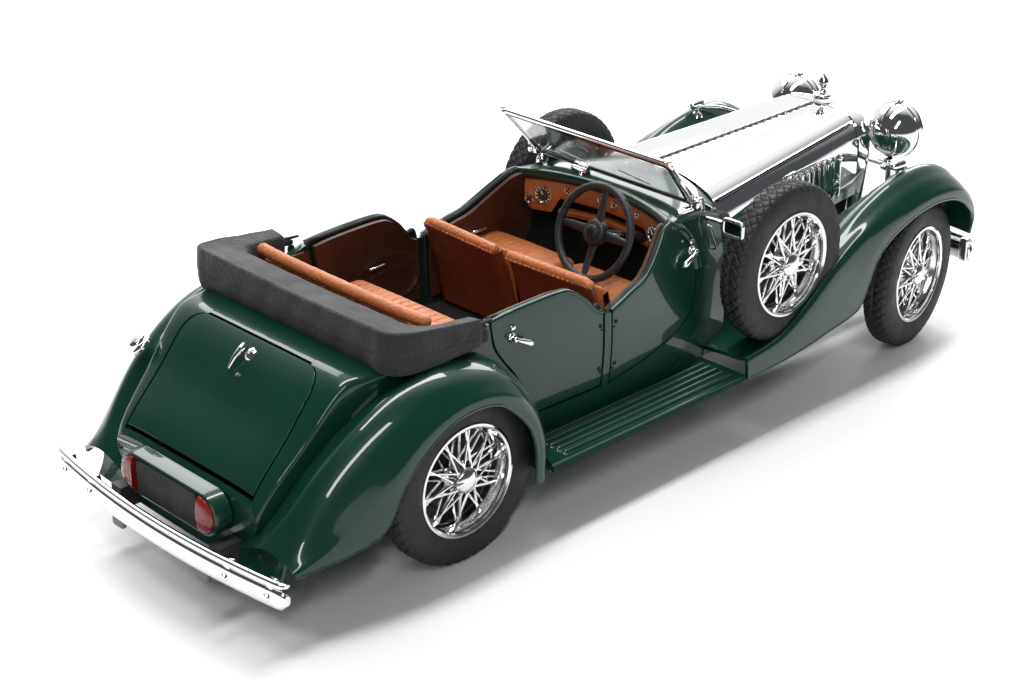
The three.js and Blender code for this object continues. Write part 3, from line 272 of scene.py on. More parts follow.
# x, bottom, tuck-in of each side at the sill, waist and belt, belt height, crown height, squareness
body_stations = np.array(
    [
        [tail_x, 14.6, 8.6, 7.4, 6.6, 18.0, 21.6, 5],
        [-37.2, 14.6, 8.0, 6.6, 6.2, 20.0, 23.4, 6],
        [-30, 14.6, 7.0, 5.2, 4.8, 28.0, 31.2, 6],
        [-21.5, 14.6, 5.6, 3.6, 3.4, 36.6, 40.4, 6],
        [-17, 14.6, 4.8, 2.8, 2.6, 38.0, 41.0, 6],
        [-6, 15.5, 3.4, 1.6, 1.2, 39.0, 41.0, 6],
        [8, 16.5, 2.4, 1.0, 1.0, 43.4, 47.0, 4],
        [24, 16.5, 1.6, 0.1, 0.8, 43.8, 47.0, 4],
        [39, 16.5, 1.2, 0.0, 1.0, 43.0, 47.0, 4],
        [50, 16.5, 1.4, 0.6, 2.2, 44.4, 47.0, 4],
        [61.5, 16.8, 2.2, 2.0, 5.1, 45.0, 46.2, 4],
        [70, 17.0, 3.6, 3.4, 6.0, 44.0, 46.9, 3],
        [scuttle_x, 17.2, 6.0, 6.2, 8.2, 40.6, 48.2, 1.9],
    ]
)


def station(x):
    """Body sizes at x: bottom, tucks, belt height, crown height and squareness."""
    held = np.clip(x, tail_x, scuttle_x)
    return np.moveaxis(eased(body_stations[:, 0], body_stations[:, 1:], held), -1, 0)


def body_y(x, z):
    """Half width of the body at x and height z: a parabola up to the belt, then a squared ellipse."""
    bottom, sill, waist, belt, belt_z, crown_z, power = station(x)
    t = (z - bottom) / (belt_z - bottom)
    tuck = sill * (1 - t) * (1 - 2 * t) + waist * 4 * t * (1 - t) + belt * t * (2 * t - 1)
    up = np.clip((z - belt_z) / (crown_z - belt_z), 0, 1)
    crown = (body_half - belt) * (1 - up**power) ** (1 / power)
    return np.where(z <= belt_z, body_half - tuck, crown)


def body_ring(x, w):
    """Point of the body at x; w runs 0 to 1 up the side and 1 to 2 over the crown to the middle."""
    bottom, sill, waist, belt, belt_z, crown_z, power = station(x)
    t = np.clip(w, 0, 1)
    tuck = sill * (1 - t) * (1 - 2 * t) + waist * 4 * t * (1 - t) + belt * t * (2 * t - 1)
    angle = np.clip(w - 1, 0, 1) * np.pi / 2
    y = np.where(w <= 1, body_half - tuck, (body_half - belt) * np.cos(angle) ** (2 / power))
    z = np.where(
        w <= 1, bottom + (belt_z - bottom) * t, belt_z + (crown_z - belt_z) * np.sin(angle) ** (2 / power),
    )
    return np.stack([x, -y, z], axis=-1)


def evenly(points, count):
    """A curve through 2-D points, sampled at even distances."""
    curve = smooth_curve(points, 200)
    reach = np.concatenate([[0], np.cumsum(np.linalg.norm(np.diff(curve, axis=0), axis=1))])
    at = np.linspace(0, reach[-1], count)
    return np.stack([np.interp(at, reach, curve[:, k]) for k in (0, 1)], axis=-1)


def side_patch(bottom, top, rear, front, rows=36, columns=48):
    """Four edges in side view filled evenly (Coons), then laid on the body's side."""
    low, high = evenly(bottom, columns), evenly(top, columns)
    back, fore = evenly(rear, rows), evenly(front, rows)
    u = np.linspace(0, 1, columns)[None, :, None]
    v = np.linspace(0, 1, rows)[:, None, None]
    ruled = (1 - v) * low[None] + v * high[None] + (1 - u) * back[:, None] + u * fore[:, None]
    ends = (
        (1 - u) * (1 - v) * low[0] + u * (1 - v) * low[-1] + (1 - u) * v * high[0] + u * v * high[-1]
    )
    flat = ruled - ends
    return np.stack([flat[..., 0], -body_y(flat[..., 0], flat[..., 1]), flat[..., 1]], axis=-1)


def both_sides(shells, side):
    """The right-hand shells as they are, or mirrored to the left."""
    return [(np.reshape(p, (-1, 3)) * [1, -side, 1], f) for p, f in shells]


def noise_group():
    """Shared: a soft cloudy value between low and high over the piece."""
    group = bpy.data.node_groups.new("cloudy", "ShaderNodeTree")
    for label, kind in (
        ("Scale", "NodeSocketFloat"), ("Low", "NodeSocketFloat"), ("High", "NodeSocketFloat"),
    ):
        group.interface.new_socket(label, in_out="INPUT", socket_type=kind)
    group.interface.new_socket("Value", in_out="OUTPUT", socket_type="NodeSocketFloat")
    entry, leave = group.nodes.new("NodeGroupInput"), group.nodes.new("NodeGroupOutput")
    place, cloud = group.nodes.new("ShaderNodeTexCoord"), group.nodes.new("ShaderNodeTexNoise")
    spread = group.nodes.new("ShaderNodeMapRange")
    cloud.inputs["Detail"].default_value = 5
    spread.inputs["From Min"].default_value = 0.3
    spread.inputs["From Max"].default_value = 0.7
    group.links.new(place.outputs["Object"], cloud.inputs["Vector"])
    group.links.new(entry.outputs["Scale"], cloud.inputs["Scale"])
    group.links.new(cloud.outputs["Fac"], spread.inputs["Value"])
    group.links.new(entry.outputs["Low"], spread.inputs["To Min"])
    group.links.new(entry.outputs["High"], spread.inputs["To Max"])
    group.links.new(spread.outputs["Result"], leave.inputs["Value"])
    return group


cloudy = noise_group()


def finish_material(name, colour, second, roughness, metallic=0.0, grain=(0.0, 1.0), coat=0.0, **extra):
    """A Principled finish: two colours mixed by a cloudy value, roughness in a range, fine bump."""
    material = bpy.data.materials.new(name)
    material.use_nodes = True
    tree = material.node_tree
    shader = tree.nodes["Principled BSDF"]

    def cloud(scale, low, high):
        node = tree.nodes.new("ShaderNodeGroup")
        node.node_tree = cloudy
        node.inputs["Scale"].default_value = scale
        node.inputs["Low"].default_value = low
        node.inputs["High"].default_value = high
        return node.outputs["Value"]

    mix = tree.nodes.new("ShaderNodeMix")
    mix.data_type = "RGBA"
    mix.inputs["A"].default_value = (*colour, 1)
    mix.inputs["B"].default_value = (*second, 1)
    tree.links.new(cloud(extra.pop("blotch", 60), 0, 1), mix.inputs["Factor"])
    tree.links.new(mix.outputs["Result"], shader.inputs["Base Color"])
    tree.links.new(cloud(240, *roughness), shader.inputs["Roughness"])
    shader.inputs["Metallic"].default_value = metallic
    shader.inputs["Coat Weight"].default_value = coat
    shader.inputs["Coat Roughness"].default_value = 0.03
    depth, scale = grain
    if depth:
        bump = tree.nodes.new("ShaderNodeBump")
        bump.inputs["Strength"].default_value = depth
        bump.inputs["Distance"].default_value = 0.0002
        tree.links.new(cloud(scale, 0, 1), bump.inputs["Height"])
        tree.links.new(bump.outputs["Normal"], shader.inputs["Normal"])
    for label, value in extra.items():
        shader.inputs[label.replace("_", " ")].default_value = value
    return material


green_enamel = finish_material(
    "green_enamel",
    (0.0030, 0.030, 0.018),
    (0.0036, 0.035, 0.021),
    (0.3, 0.36),
    grain=(0.04, 900),
    coat=0.75,
    Specular_IOR_Level=0.15,
)
# Near-black finish for hinges, pins, the bonnet's crease line and the blank plate; on the footwell and sill sheets
# and the boot box it is painted shade.
black_parts_and_painted_shade = finish_material(
    "black_parts_and_painted_shade", (0.006, 0.006, 0.007), (0.012, 0.012, 0.013), (0.6, 0.8), grain=(0.2, 2000),
)

card_brown = finish_material(
    "card_brown", (0.045, 0.016, 0.008), (0.07, 0.024, 0.012), (0.42, 0.6), grain=(0.35, 1800)
)
shut = 0.45
skin = 1.5
rear_door_back = [[21, 21], [19.1, 25], [17.1, 28.2], [14.8, 31.5], [12.6, 34.3], [10.6, 37.6], [9.8, 42.3]]
front_door_fore = [[65.4, 28], [66.8, 32], [67, 38], [66, 42.5], [63.8, 44.6], [61.9, 45.5]]
front_door_low = [[40.3, 21], [49, 22.2], [57, 24], [62, 25.6], [65.4, 28]]
front_door_top = [
    [40.3, 35.4],
    [44.1, 36.6],
    [46.5, 37.4],
    [50.4, 38.5],
    [53.8, 40.6],
    [57, 43],
    [59.6, 44.9],
    [61.9, 45.5],
]
rear_door_top = [
    [9.8, 42.3], [14, 42.7], [20, 42.9], [26.5, 42.9], [29.5, 42.3], [33, 39.8], [35.4, 37.2], [37.7, 36.0],
]

def tube(path, radius, sides=10, closed=False, reference=(0.0, 0.0, 1.0)):
    """A circle carried along a path, square to it and held level to a reference direction."""
    path = np.asarray(path, float)
    if closed:
        tangent = np.roll(path, -1, axis=0) - np.roll(path, 1, axis=0)
    else:
        tangent = np.gradient(path, axis=0)
    tangent /= np.linalg.norm(tangent, axis=1, keepdims=True)
    across = np.cross(tangent, reference)
    across /= np.linalg.norm(across, axis=1, keepdims=True) + 1e-12
    up = np.cross(across, tangent)
    turn = np.linspace(0, 2 * np.pi, sides, endpoint=False)
    radius = np.broadcast_to(np.asarray(radius, float), (len(path),))[:, None, None]
    ring = np.cos(turn)[None, :, None] * across[:, None] + np.sin(turn)[None, :, None] * up[:, None]
    points = (path[:, None] + radius * ring).reshape(-1, 3)
    faces = [grid_faces(len(path), sides, wrap_rows=closed, wrap_columns=True)]
    if not closed:
        last = (len(path) - 1) * sides
        faces.append(np.array([np.arange(sides)[::-1], last + np.arange(sides)]))
    return points, faces


# sills: below the doors from wing to scuttle, then up the scuttle's side
sill_x = np.linspace(15.5, scuttle_x, 70)
sill_top = np.interp(sill_x, [21, 40, 49, 57, 62, 65.8, 80], [20.6, 20.6, 21.8, 23.6, 25.2, 27.6, 27.6])
sill_share = np.linspace(0, 1, 12)[:, None]
sill_z = 14.9 + (sill_top[None] - 14.9) * sill_share
sill_grid = np.stack(
    [np.broadcast_to(sill_x, sill_z.shape), -body_y(sill_x[None], np.maximum(sill_z, 16.6)), sill_z], -1,
)

# scuttle: from the door's front edge forward, and over the cowl from the bowed dash edge
scuttle_w = np.concatenate([np.linspace(0, 1, 26), 1 + np.linspace(0.04, 1, 26)])
edge_x = np.full(len(scuttle_w), 62.0)
fore_curve = evenly(front_door_fore, 80)
for settle in range(12):
    bottom_z = 27.6 + (station(edge_x)[4] - 27.6) * np.clip(scuttle_w, 0, 1)
    side_x = np.interp(bottom_z, fore_curve[:, 1], fore_curve[:, 0]) + shut
    bowed = body_ring(edge_x, scuttle_w)
    bow_x = 61.9 + 4.3 * (1 - np.clip(np.abs(bowed[:, 1]) / 20.4, 0, 1) ** 2)
    edge_x = np.where(scuttle_w <= 1, side_x, bow_x)
run = np.linspace(0, 1, 24)[:, None]
scuttle_at = edge_x[None] + (scuttle_x - edge_x[None]) * run
w_grid = np.broadcast_to(scuttle_w, scuttle_at.shape)
scuttle_grid = body_ring(scuttle_at, w_grid)
belt_here = station(scuttle_at)[4]
low_side = w_grid <= 1
side_z = 27.6 + (belt_here - 27.6) * w_grid
scuttle_grid[..., 2] = np.where(low_side, side_z, scuttle_grid[..., 2])
scuttle_grid[..., 1] = np.where(low_side, -body_y(scuttle_at, side_z), scuttle_grid[..., 1])

pillar_grid = side_patch(
    [[38.15, 20.6], [39.85, 20.6]],
    [[38.15, 35.6], [39.85, 35.4]],
    [[38.15, 20.6], [38.15, 35.6]],
    [[39.85, 20.6], [39.85, 35.4]],
    24,
    4,
)

# tail: strips outside the boot lid, the deck above it and the lip below it
lid_front_x, lid_rear_x, lid_half, lid_round = -21.1, -37.3, 18.2, 4.2


def lid_edge(x, grow):
    """Half width of the boot lid's outline at x, with rounded upper corners."""
    into = np.clip((x - (lid_front_x - lid_round)) / lid_round, 0, 1)
    return lid_half + grow - lid_round * (1 - np.sqrt(np.clip(1 - into**2, 0, 1)))


strip_x = np.concatenate(
    [np.linspace(tail_x, -26, 30), np.linspace(-25.5, -20.65, 22), np.linspace(-20, -7, 14)]
)
_, _, _, strip_belt, _, _, strip_power = station(strip_x)
inner_w = 1 + np.arccos((lid_edge(strip_x, shut) / (body_half - strip_belt)) ** (strip_power / 2)) / (np.pi / 2)
strip_w = np.concatenate([np.linspace(0, 1, 22), 1 + np.linspace(0.03, 1, 16)])
w_there = np.where(strip_w[None] <= 1, strip_w[None], 1 + (strip_w[None] - 1) * (inner_w[:, None] - 1))
strip_grid = body_ring(np.broadcast_to(strip_x[:, None], w_there.shape), w_there)


def deck_patch(x_values, half_widths, columns=24):
    """Top of the body between plus and minus a half width, as a height over x and y."""
    share = np.linspace(-1, 1, columns)[None]
    y = share * half_widths[:, None]
    x = np.broadcast_to(x_values[:, None], y.shape)
    _, _, _, belt, belt_z, crown_z, power = station(x)
    reach = np.clip(np.abs(y) / (body_half - belt), 0, 1)
    z = belt_z + (crown_z - belt_z) * (1 - reach**power) ** (1 / power)
    return np.stack([x, y, z], axis=-1)


deck_x = np.linspace(lid_front_x + shut, -7, 12)
deck_grid = deck_patch(deck_x, lid_edge(deck_x, shut))
lip_x = np.linspace(tail_x, lid_rear_x - shut, 5)
lip_grid = deck_patch(lip_x, lid_edge(lip_x, shut))
cap_grid = body_ring(np.full((2, 40), tail_x), np.broadcast_to(np.linspace(0, 2, 40), (2, 40)))
cap_grid[1, :, 1] *= 0.0
cap_grid[1, :, 2] = np.clip(cap_grid[1, :, 2], 14.6, 21.6)

# rear quarter: from the door's rear edge back under the hood's arm
quarter_grid = side_patch(
    [[-8, 14.8], [20.55, 16.6]],
    [[-8, 38.9], [0, 39.6], [9.3, 42.2]],
    [[-8, 14.8], [-8, 38.9]],
    [[20.55, 16.6]] + [[x - shut, z] for x, z in rear_door_back],
)

body_shells = []
inward = (
    (sill_grid, skin),
    (scuttle_grid, -skin),
    (pillar_grid, skin),
    (strip_grid, -skin),
    (quarter_grid, skin),
    (cap_grid, 0.8),
)
for side in (-1, 1):
    for patch, depth in inward:
        body_shells += both_sides([plate(patch, depth)], side)
body_shells += [plate(deck_grid, -skin), plate(lip_grid, -skin)]
# skirt under the tail, between the rear wings and behind the bumper's irons
skirt_half, skirt_top, skirt_height = 26.5, 15.4, 5.2
skirt_y = np.linspace(-skirt_half, skirt_half, 40)
skirt_drop = np.linspace(0, 1, 8)[:, None]
skirt_x = tail_x + 0.9 - 1.6 * skirt_drop**2 - 0.8 * (1 - (skirt_y[None] / 27) ** 2)
skirt_z = skirt_top - skirt_height * skirt_drop + 0 * skirt_x
skirt_grid = np.stack([skirt_x, np.broadcast_to(skirt_y, skirt_x.shape), skirt_z], -1)
body_shells.append(plate(skirt_grid, 0.8))
body_skin = make_piece("body_skin", body_shells, "car", green_enamel, bevel=0.12)
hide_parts("body_shell")

# the rolled edge over the dashboard, near-black sheets in the footwell and behind the sills as painted shade, and
# brown trim behind the doors
edge_points = body_ring(np.interp(np.linspace(0.6, 2, 60), scuttle_w, edge_x), np.linspace(0.6, 2, 60))
edge_points = edge_points[4:] + np.array([0.35, 0, -0.75])
edge_points = np.concatenate([edge_points, edge_points[-2::-1] * [1, -1, 1]])
make_piece("scuttle_roll", [tube(edge_points, 0.95, 14)], "car", green_enamel)
shade_sheet_shells, trim_shells = [], []
# The footwell and sill sheets are near-black: painted shade for the inside of the body seen past the doors.
footwell = moved_along_normals(scuttle_grid, -skin - 0.1)
sill_shade_sheet = moved_along_normals(sill_grid[4:], skin + 0.1)
quarter_lining = moved_along_normals(quarter_grid[4:], skin + 0.1)
quarter_lining[..., 2] = np.minimum(quarter_lining[..., 2], 41.2)
for side in (-1, 1):
    shade_sheet_shells += both_sides([plate(footwell, -0.5), plate(sill_shade_sheet, 0.5)], side)
    trim_shells += both_sides([plate(quarter_lining, 0.5)], side)
make_piece("footwell_lining", shade_sheet_shells, "car", black_parts_and_painted_shade)
make_piece("quarter_trim", trim_shells, "car", card_brown)

# ---- Doors ---------------------------------------------------------------------------------------
# Four pressed doors in the body's enamel, hung from the middle pillar, each with a raised bead along
# its top edge, a plated handle and two small hinges. A near-black strip in each shut line is painted shade.
def side_curve(points, count, out):
    """A side-view curve laid on the body's side, standing out from it by out (mm)."""
    flat = evenly(points, count)
    return np.stack([flat[:, 0], -body_y(flat[:, 0], flat[:, 1]) - out, flat[:, 1]], axis=-1)


def lathe(profile, centre, axis, sides=32, start=0.0):
    """(radius, distance) points turned about an axis through centre; ends at radius 0 close."""
    profile = np.asarray(profile, float)
    axis = np.asarray(axis, float) / np.linalg.norm(axis)
    helper = np.array([0.0, 0.0, 1.0]) if abs(axis[2]) < 0.9 else np.array([1.0, 0.0, 0.0])
    across = np.cross(helper, axis)
    across /= np.linalg.norm(across)
    up = np.cross(axis, across)
    turn = start + np.linspace(0, 2 * np.pi, sides, endpoint=False)
    ring = np.cos(turn)[:, None] * across + np.sin(turn)[:, None] * up
    points = (
        np.asarray(centre, float)
        + profile[:, None, 1:2] * axis
        + np.maximum(profile[:, None, 0:1], 1e-4) * ring[None]
    )
    faces = [grid_faces(len(profile), sides, wrap_columns=True)]
    last = (len(profile) - 1) * sides
    faces.append(np.array([np.arange(sides)[::-1], last + np.arange(sides)]))
    return points.reshape(-1, 3), faces


def rounded_block(centre, size, turn=None, power=4.0, count=14):
    """A block with rounded edges: a squared sphere of the given full size, turned by a 3x3."""
    lon = np.linspace(0, 2 * np.pi, 2 * count, endpoint=False)
    lat = np.linspace(-np.pi / 2, np.pi / 2, count)[:, None]
    bend = lambda v: np.sign(v) * np.abs(v) ** (2 / power)
    shape = np.stack(
        np.broadcast_arrays(
            bend(np.cos(lat)) * bend(np.cos(lon)), bend(np.cos(lat)) * bend(np.sin(lon)), bend(np.sin(lat)),
        ),
        axis=-1,
    )
    points = shape.reshape(-1, 3) * np.asarray(size) / 2
    if turn is not None:
        points = points @ np.asarray(turn).T
    return points + np.asarray(centre), [grid_faces(count, 2 * count, wrap_columns=True)]


bright_plate = finish_material(
    "bright_plate", (0.86, 0.86, 0.85), (0.92, 0.92, 0.91), (0.03, 0.09), metallic=1.0, grain=(0.03, 500)
)
# Near-black rubber for the windscreen's seal; the same finish inside the doors' shut lines is painted shade in the
# gaps.
black_rubber_and_gap_shade = finish_material(
    "black_rubber_and_gap_shade", (0.004, 0.004, 0.004), (0.01, 0.01, 0.01), (0.55, 0.8), grain=(0.2, 3000),
)
door_shapes = {
    "rear": {
        "low": [[21, 21], [37.7, 21]],
        "top": rear_door_top,
        "rear": rear_door_back,
        "front": [[37.7, 21], [37.7, 36.0]],
        "handle": (16.0, 37.2),
        "lever": 1,
        "hinges": [(36.9, 24.8), (36.9, 33.6)],
    },
    "front": {
        "low": front_door_low,
        "top": front_door_top,
        "rear": [[40.3, 21], [40.3, 35.4]],
        "front": front_door_fore,
        "handle": (64.6, 38.4),
        "lever": -1,
        "hinges": [(41.1, 24.6), (41.1, 33.2)],
    },
}


def pressed_ring(x, z, centre_x, centre_z, half_x, half_z, width):
    """1 on an oval line of the given width, falling smoothly to 0 beside it."""
    reach = np.hypot((x - centre_x) / half_x, (z - centre_z) / half_z)
    return np.exp(-(((reach - 1) * min(half_x, half_z) / width) ** 2))


for place, shape in door_shapes.items():
    panel = side_patch(shape["low"], shape["top"], shape["rear"], shape["front"], 44, 56)
    bead = side_curve(shape["top"], 60, -0.35)
    outline = np.concatenate(
        [shape["low"][:-1], shape["front"][:-1], shape["top"][::-1][:-1], shape["rear"][::-1][:-1]]
    )
    # A near-black tube just inside the door's outline: painted shade, so the shut gap reads dark.
    seal = np.stack([outline[:, 0], -body_y(outline[:, 0], outline[:, 1]) + 1.1, outline[:, 1]], axis=-1)
    gap_shade_path = smooth_curve(seal, 160)
    handle_x, handle_z = shape["handle"]
    handle_y = -float(body_y(np.array(handle_x), np.array(handle_z)))
    forward = shape["lever"]
    lever = smooth_curve(
        [
            [handle_x - forward * 1.5, handle_y - 0.5, handle_z + 1.0],
            [handle_x - forward * 1.0, handle_y - 1.3, handle_z + 0.8],
            [handle_x + forward * 0.5, handle_y - 1.5, handle_z + 0.1],
            [handle_x + forward * 1.8, handle_y - 1.35, handle_z - 0.7],
            [handle_x + forward * 2.4, handle_y - 1.25, handle_z - 1.1],
        ],
        30,
    )
    lever_radius = smooth_curve(np.array([[0.35], [0.4], [0.62], [0.68], [0.12]]), 30)[:, 0]
    post = lathe(
        smooth_curve([[0.95, -0.3], [0.98, 0.1], [0.6, 0.5], [0.5, 0.9], [0.55, 1.3], [0.02, 1.6]], 24),
        (handle_x - forward * 1.5, handle_y, handle_z + 1.0),
        (0, -1, 0),
        20,
    )
    lock = lathe(
        [[0, -0.2], [0.5, -0.2], [0.5, 0.25], [0.3, 0.4], [0, 0.4]],
        (handle_x - forward * 1.3, handle_y, handle_z + 2.9),
        (0, -1, 0),
        16,
    )
    mid_x, mid_z = panel[..., 0].mean(), panel[..., 2].mean()
    card = panel.copy()
    card[..., 0] = mid_x + (card[..., 0] - mid_x) * 0.965
    card[..., 2] = np.maximum(card[..., 2] - 0.35, 22.4)
    swell = pressed_ring(card[..., 0], card[..., 2], mid_x + 2, mid_z - 2.0, 8.6, 5.4, 0.3)
    swell += pressed_ring(card[..., 0], card[..., 2], mid_x + 2.6, mid_z - 3.2, 7.4, 3.4, 0.26)
    card[..., 1] = -body_y(card[..., 0], card[..., 2]) + 1.95 + 0.9 + 0.22 * swell
    inner_handle = tube(
        smooth_curve(
            [
                [mid_x - 2.6, card[22, 28, 1] - 0.1, mid_z + 2.0],
                [mid_x - 2.3, card[22, 28, 1] + 0.9, mid_z + 2.1],
                [mid_x + 0.8, card[22, 28, 1] + 0.9, mid_z + 2.2],
            ],
            12,
        ),
        0.32,
    )
    for name, side in (("right", -1), ("left", 1)):
        body = f"door_{place}_{name}"
        shells = both_sides([plate(panel, 1.25), tube(bead, 0.55)], side)
        skin_piece = make_piece(f"door_skin_{place}_{name}", shells, body, green_enamel, bevel=0.14)
        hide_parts(f"door_{place}_{name}")
        bright = both_sides([tube(lever, lever_radius, 16), lock, post], side)
        make_piece(f"door_handle_{place}_{name}", bright, body, bright_plate)
        pips = []
        for hinge_x, hinge_z in shape["hinges"]:
            hinge_y = -float(body_y(np.array(hinge_x), np.array(hinge_z)))
            pips.append(
                lathe(
                    [[0, -0.3], [0.42, -0.3], [0.42, 0.1], [0.2, 0.3], [0, 0.3]],
                    (hinge_x, hinge_y, hinge_z),
                    (0, -1, 0),
                    12,
                )
            )
            pips.append(
                rounded_block(
                    (hinge_x + (0.5 if place == "rear" else -0.5), hinge_y + 0.05, hinge_z - 0.9),
                    (0.7, 0.5, 0.35),
                )
            )
        make_piece(f"door_hinge_{place}_{name}", both_sides(pips, side), body, black_parts_and_painted_shade)
        make_piece(
            f"door_seal_{place}_{name}",
            both_sides([tube(gap_shade_path, 0.5, 8, closed=True, reference=(0, 1, 0))], side),
            "car",
            black_rubber_and_gap_shade,
        )
        card_shells = both_sides([plate(card, -0.8)], side)
        card_piece = make_piece(
            f"door_card_{place}_{name}", card_shells, body, card_brown, bevel=0.12,
        )
        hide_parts(f"door_trim_{place}_{name}")
        make_piece(
            f"door_pull_{place}_{name}", both_sides([inner_handle], side), body, bright_plate,
        )


# ---- Boot lid ------------------------------------------------------------------------------------
# A flat pressed lid in the sloping tail, hinged along its lower edge, with a lever and a lock near
# its upper edge, left of the middle as it is seen from behind.
lid_x = np.concatenate([np.linspace(lid_rear_x, -26, 34), np.linspace(-25.5, lid_front_x, 26)])
lid_grid = deck_patch(lid_x, lid_edge(lid_x, 0.0), 56)
lid_piece = make_piece(
    "boot_lid_skin", [plate(lid_grid, -1.3)], "boot_lid", green_enamel, bevel=0.22,
)
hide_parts("boot_lid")
# A near-black box under the boot lid is painted shade inside the tail, so the lid's shut lines read dark.
well_x = np.linspace(tail_x + 1.2, -8.4, 60)
well_half, well_floor = 19.6, 16.9
well_ring = np.concatenate([[[-1.0, 1.0]], [[-1.0, 0.0]], [[1.0, 0.0]], [[1.0, 1.0]]])
well_top = deck_patch(well_x, np.full(60, well_half), 3)[:, 0, 2] - 1.6
well_grid = np.stack(
    [
        well_x[:, None] + 0 * well_ring[None, :, 0],
        well_half * well_ring[None, :, 0] + 0 * well_x[:, None],
        well_floor + (np.maximum(well_top, well_floor + 1)[:, None] - well_floor) * well_ring[None, :, 1],
    ],
    -1,
)
well_front = np.stack(
    [
        np.full((2, 2), -8.4),
        np.array([[-well_half, well_half]] * 2),
        np.array([[well_floor] * 2, [well_top[-1] + 1.2] * 2]),
    ],
    -1,
)
make_piece("boot_well", [plate(well_grid, -0.5), plate(well_front, 0.5)], "car", black_parts_and_painted_shade)
lid_normal = np.array([-0.72, 0.0, 0.69])


def on_lid(x, y, out):
    """A point out (mm) above the lid's surface at x and y."""
    point = deck_patch(np.array([x, x + 0.01]), np.array([abs(y) + 0.01] * 2), 3)[0, 2]
    return np.array([point[0], y, point[2]]) + lid_normal * out


escutcheon = lathe(
    [[0, -0.3], [1.15, -0.3], [1.2, 0.1], [0.8, 0.4], [0, 0.5]], on_lid(-23.6, -1.0, 0), lid_normal, 24,
)
lid_lever = tube(
    np.array([on_lid(-23.0, 1.2, 0.5), on_lid(-23.6, 0.6, 1.1), on_lid(-24.9, 1.0, 1.0), on_lid(-26.2, 1.4, 0.7)]),
    [0.5, 0.6, 0.5, 0.3],
    12,
)
lid_key = lathe([[0, -0.2], [0.4, -0.2], [0.4, 0.3], [0, 0.35]], on_lid(-26.4, -0.9, 0), lid_normal, 12)
make_piece("boot_handle", [escutcheon, lid_lever, lid_key], "boot_lid", bright_plate)


# ---- Wings ---------------------------------------------------------------------------------------
# Separate castings in the body's enamel, bolted to its sides. The outer edge is rolled into a thin
# lip; the crown runs inwards to the body, and the front pair carry an apron beside the engine.
arch_radius = axle_height + 2.3
wing_outer = wheel_y + 3 + 4.4


def wing_rails(axle_x, rows, taper):
    """Lip, shoulder and crown of each row, given in arch radii from the wheel, as five rails."""
    rows = np.asarray(rows, float).reshape(-1, 3, 2) * arch_radius + [axle_x, axle_height]
    lip, shoulder, crown = rows[:, 0], rows[:, 1], rows[:, 2]
    outer = wing_outer - np.asarray(taper, float)
    flat = [lip, lip * 0.45 + shoulder * 0.55, shoulder, shoulder * 0.38 + crown * 0.62, crown]
    drop = [0.0, 0.1, 0.9, 3.1, 6.6]
    return [np.stack([p[:, 0], outer - d, p[:, 1]], axis=-1) for p, d in zip(flat, drop)]


def fine_grid(rails, rows, columns):
    """Rails stacked across a wing, smoothed along and across."""
    grid = np.stack(rails, axis=1)
    grid = smooth_curve(grid, rows)
    return np.swapaxes(smooth_curve(np.swapaxes(grid, 0, 1), columns), 0, 1)


def mirror_down(grid):
    """The rails are drawn with y outward; the right-hand side has y negative."""
    return grid * [1, -1, 1]


rear_rows = [
    [0.68, -0.2, 0.82, -0.2, 0.955, -0.2],
    [0.69, 0.02, 0.83, 0.04, 0.96, 0.08],
    [0.67, 0.23, 0.81, 0.27, 0.93, 0.32],
    [0.58, 0.46, 0.71, 0.54, 0.83, 0.62],
    [0.42, 0.65, 0.52, 0.78, 0.62, 0.92],
    [0.2, 0.82, 0.26, 0.95, 0.34, 1.12],
    [-0.1, 0.88, -0.08, 1.02, -0.04, 1.22],
    [-0.42, 0.83, -0.42, 0.99, -0.42, 1.23],
    [-0.74, 0.65, -0.76, 0.86, -0.82, 1.14],
    [-1.0, 0.38, -1.07, 0.62, -1.2, 0.94],
    [-1.18, 0.04, -1.35, 0.36, -1.55, 0.66],
    [-1.5, -0.1, -1.66, 0.1, -1.84, 0.34],
    [-2.06, -0.17, -2.09, -0.1, -2.11, -0.02],
]
rear_taper = [0, 0, 0, 0, 0, 0, 0, 0, 0, 0.2, 0.8, 2, 4.2]
rear_rails = wing_rails(0.0, rear_rows, rear_taper)
rear_crown = rear_rails[-1]
inner_drop = np.where(np.arange(len(rear_rows)) > 5, 2.4, 0.2)
inner_z = rear_crown[:, 2] - inner_drop
inner_y = np.minimum(body_y(rear_crown[:, 0], inner_z) - 0.7, rear_crown[:, 1] - 1.5)
rear_rails.append(
    np.stack(
        [rear_crown[:, 0], rear_crown[:, 1] * 0.45 + inner_y * 0.55, rear_crown[:, 2] - inner_drop * 0.4], -1,
    )
)
rear_rails.append(np.stack([rear_crown[:, 0], inner_y, inner_z], -1))
rear_wing_grid = mirror_down(fine_grid(rear_rails, 110, 44))

front_rows = [
    [0.93, 0.3, 0.965, 0.3, 0.99, 0.3],
    [0.83, 0.56, 0.87, 0.61, 0.92, 0.63],
    [0.61, 0.77, 0.67, 0.88, 0.74, 0.95],
    [0.32, 0.93, 0.35, 1.08, 0.44, 1.19],
    [0.0, 1.0, 0.03, 1.15, 0.14, 1.32],
    [-0.32, 0.99, -0.3, 1.15, -0.16, 1.36],
    [-0.64, 0.92, -0.62, 1.11, -0.48, 1.33],
    [-0.98, 0.78, -0.95, 1.06, -0.84, 1.25],
    [-1.2, 0.58, -1.22, 0.98, -1.2, 1.12],
    [-1.32, 0.33, -1.4, 0.92, -1.46, 0.99],
    [-1.49, 0.09, -1.64, 0.8, -1.7, 0.86],
]
front_taper = [3.4, 1.8, 0.7, 0.2, 0, 0, 0, 0, 0, 0, 0]
front_rails = wing_rails(front_axle_x, front_rows, front_taper)
seam_x = 71.0
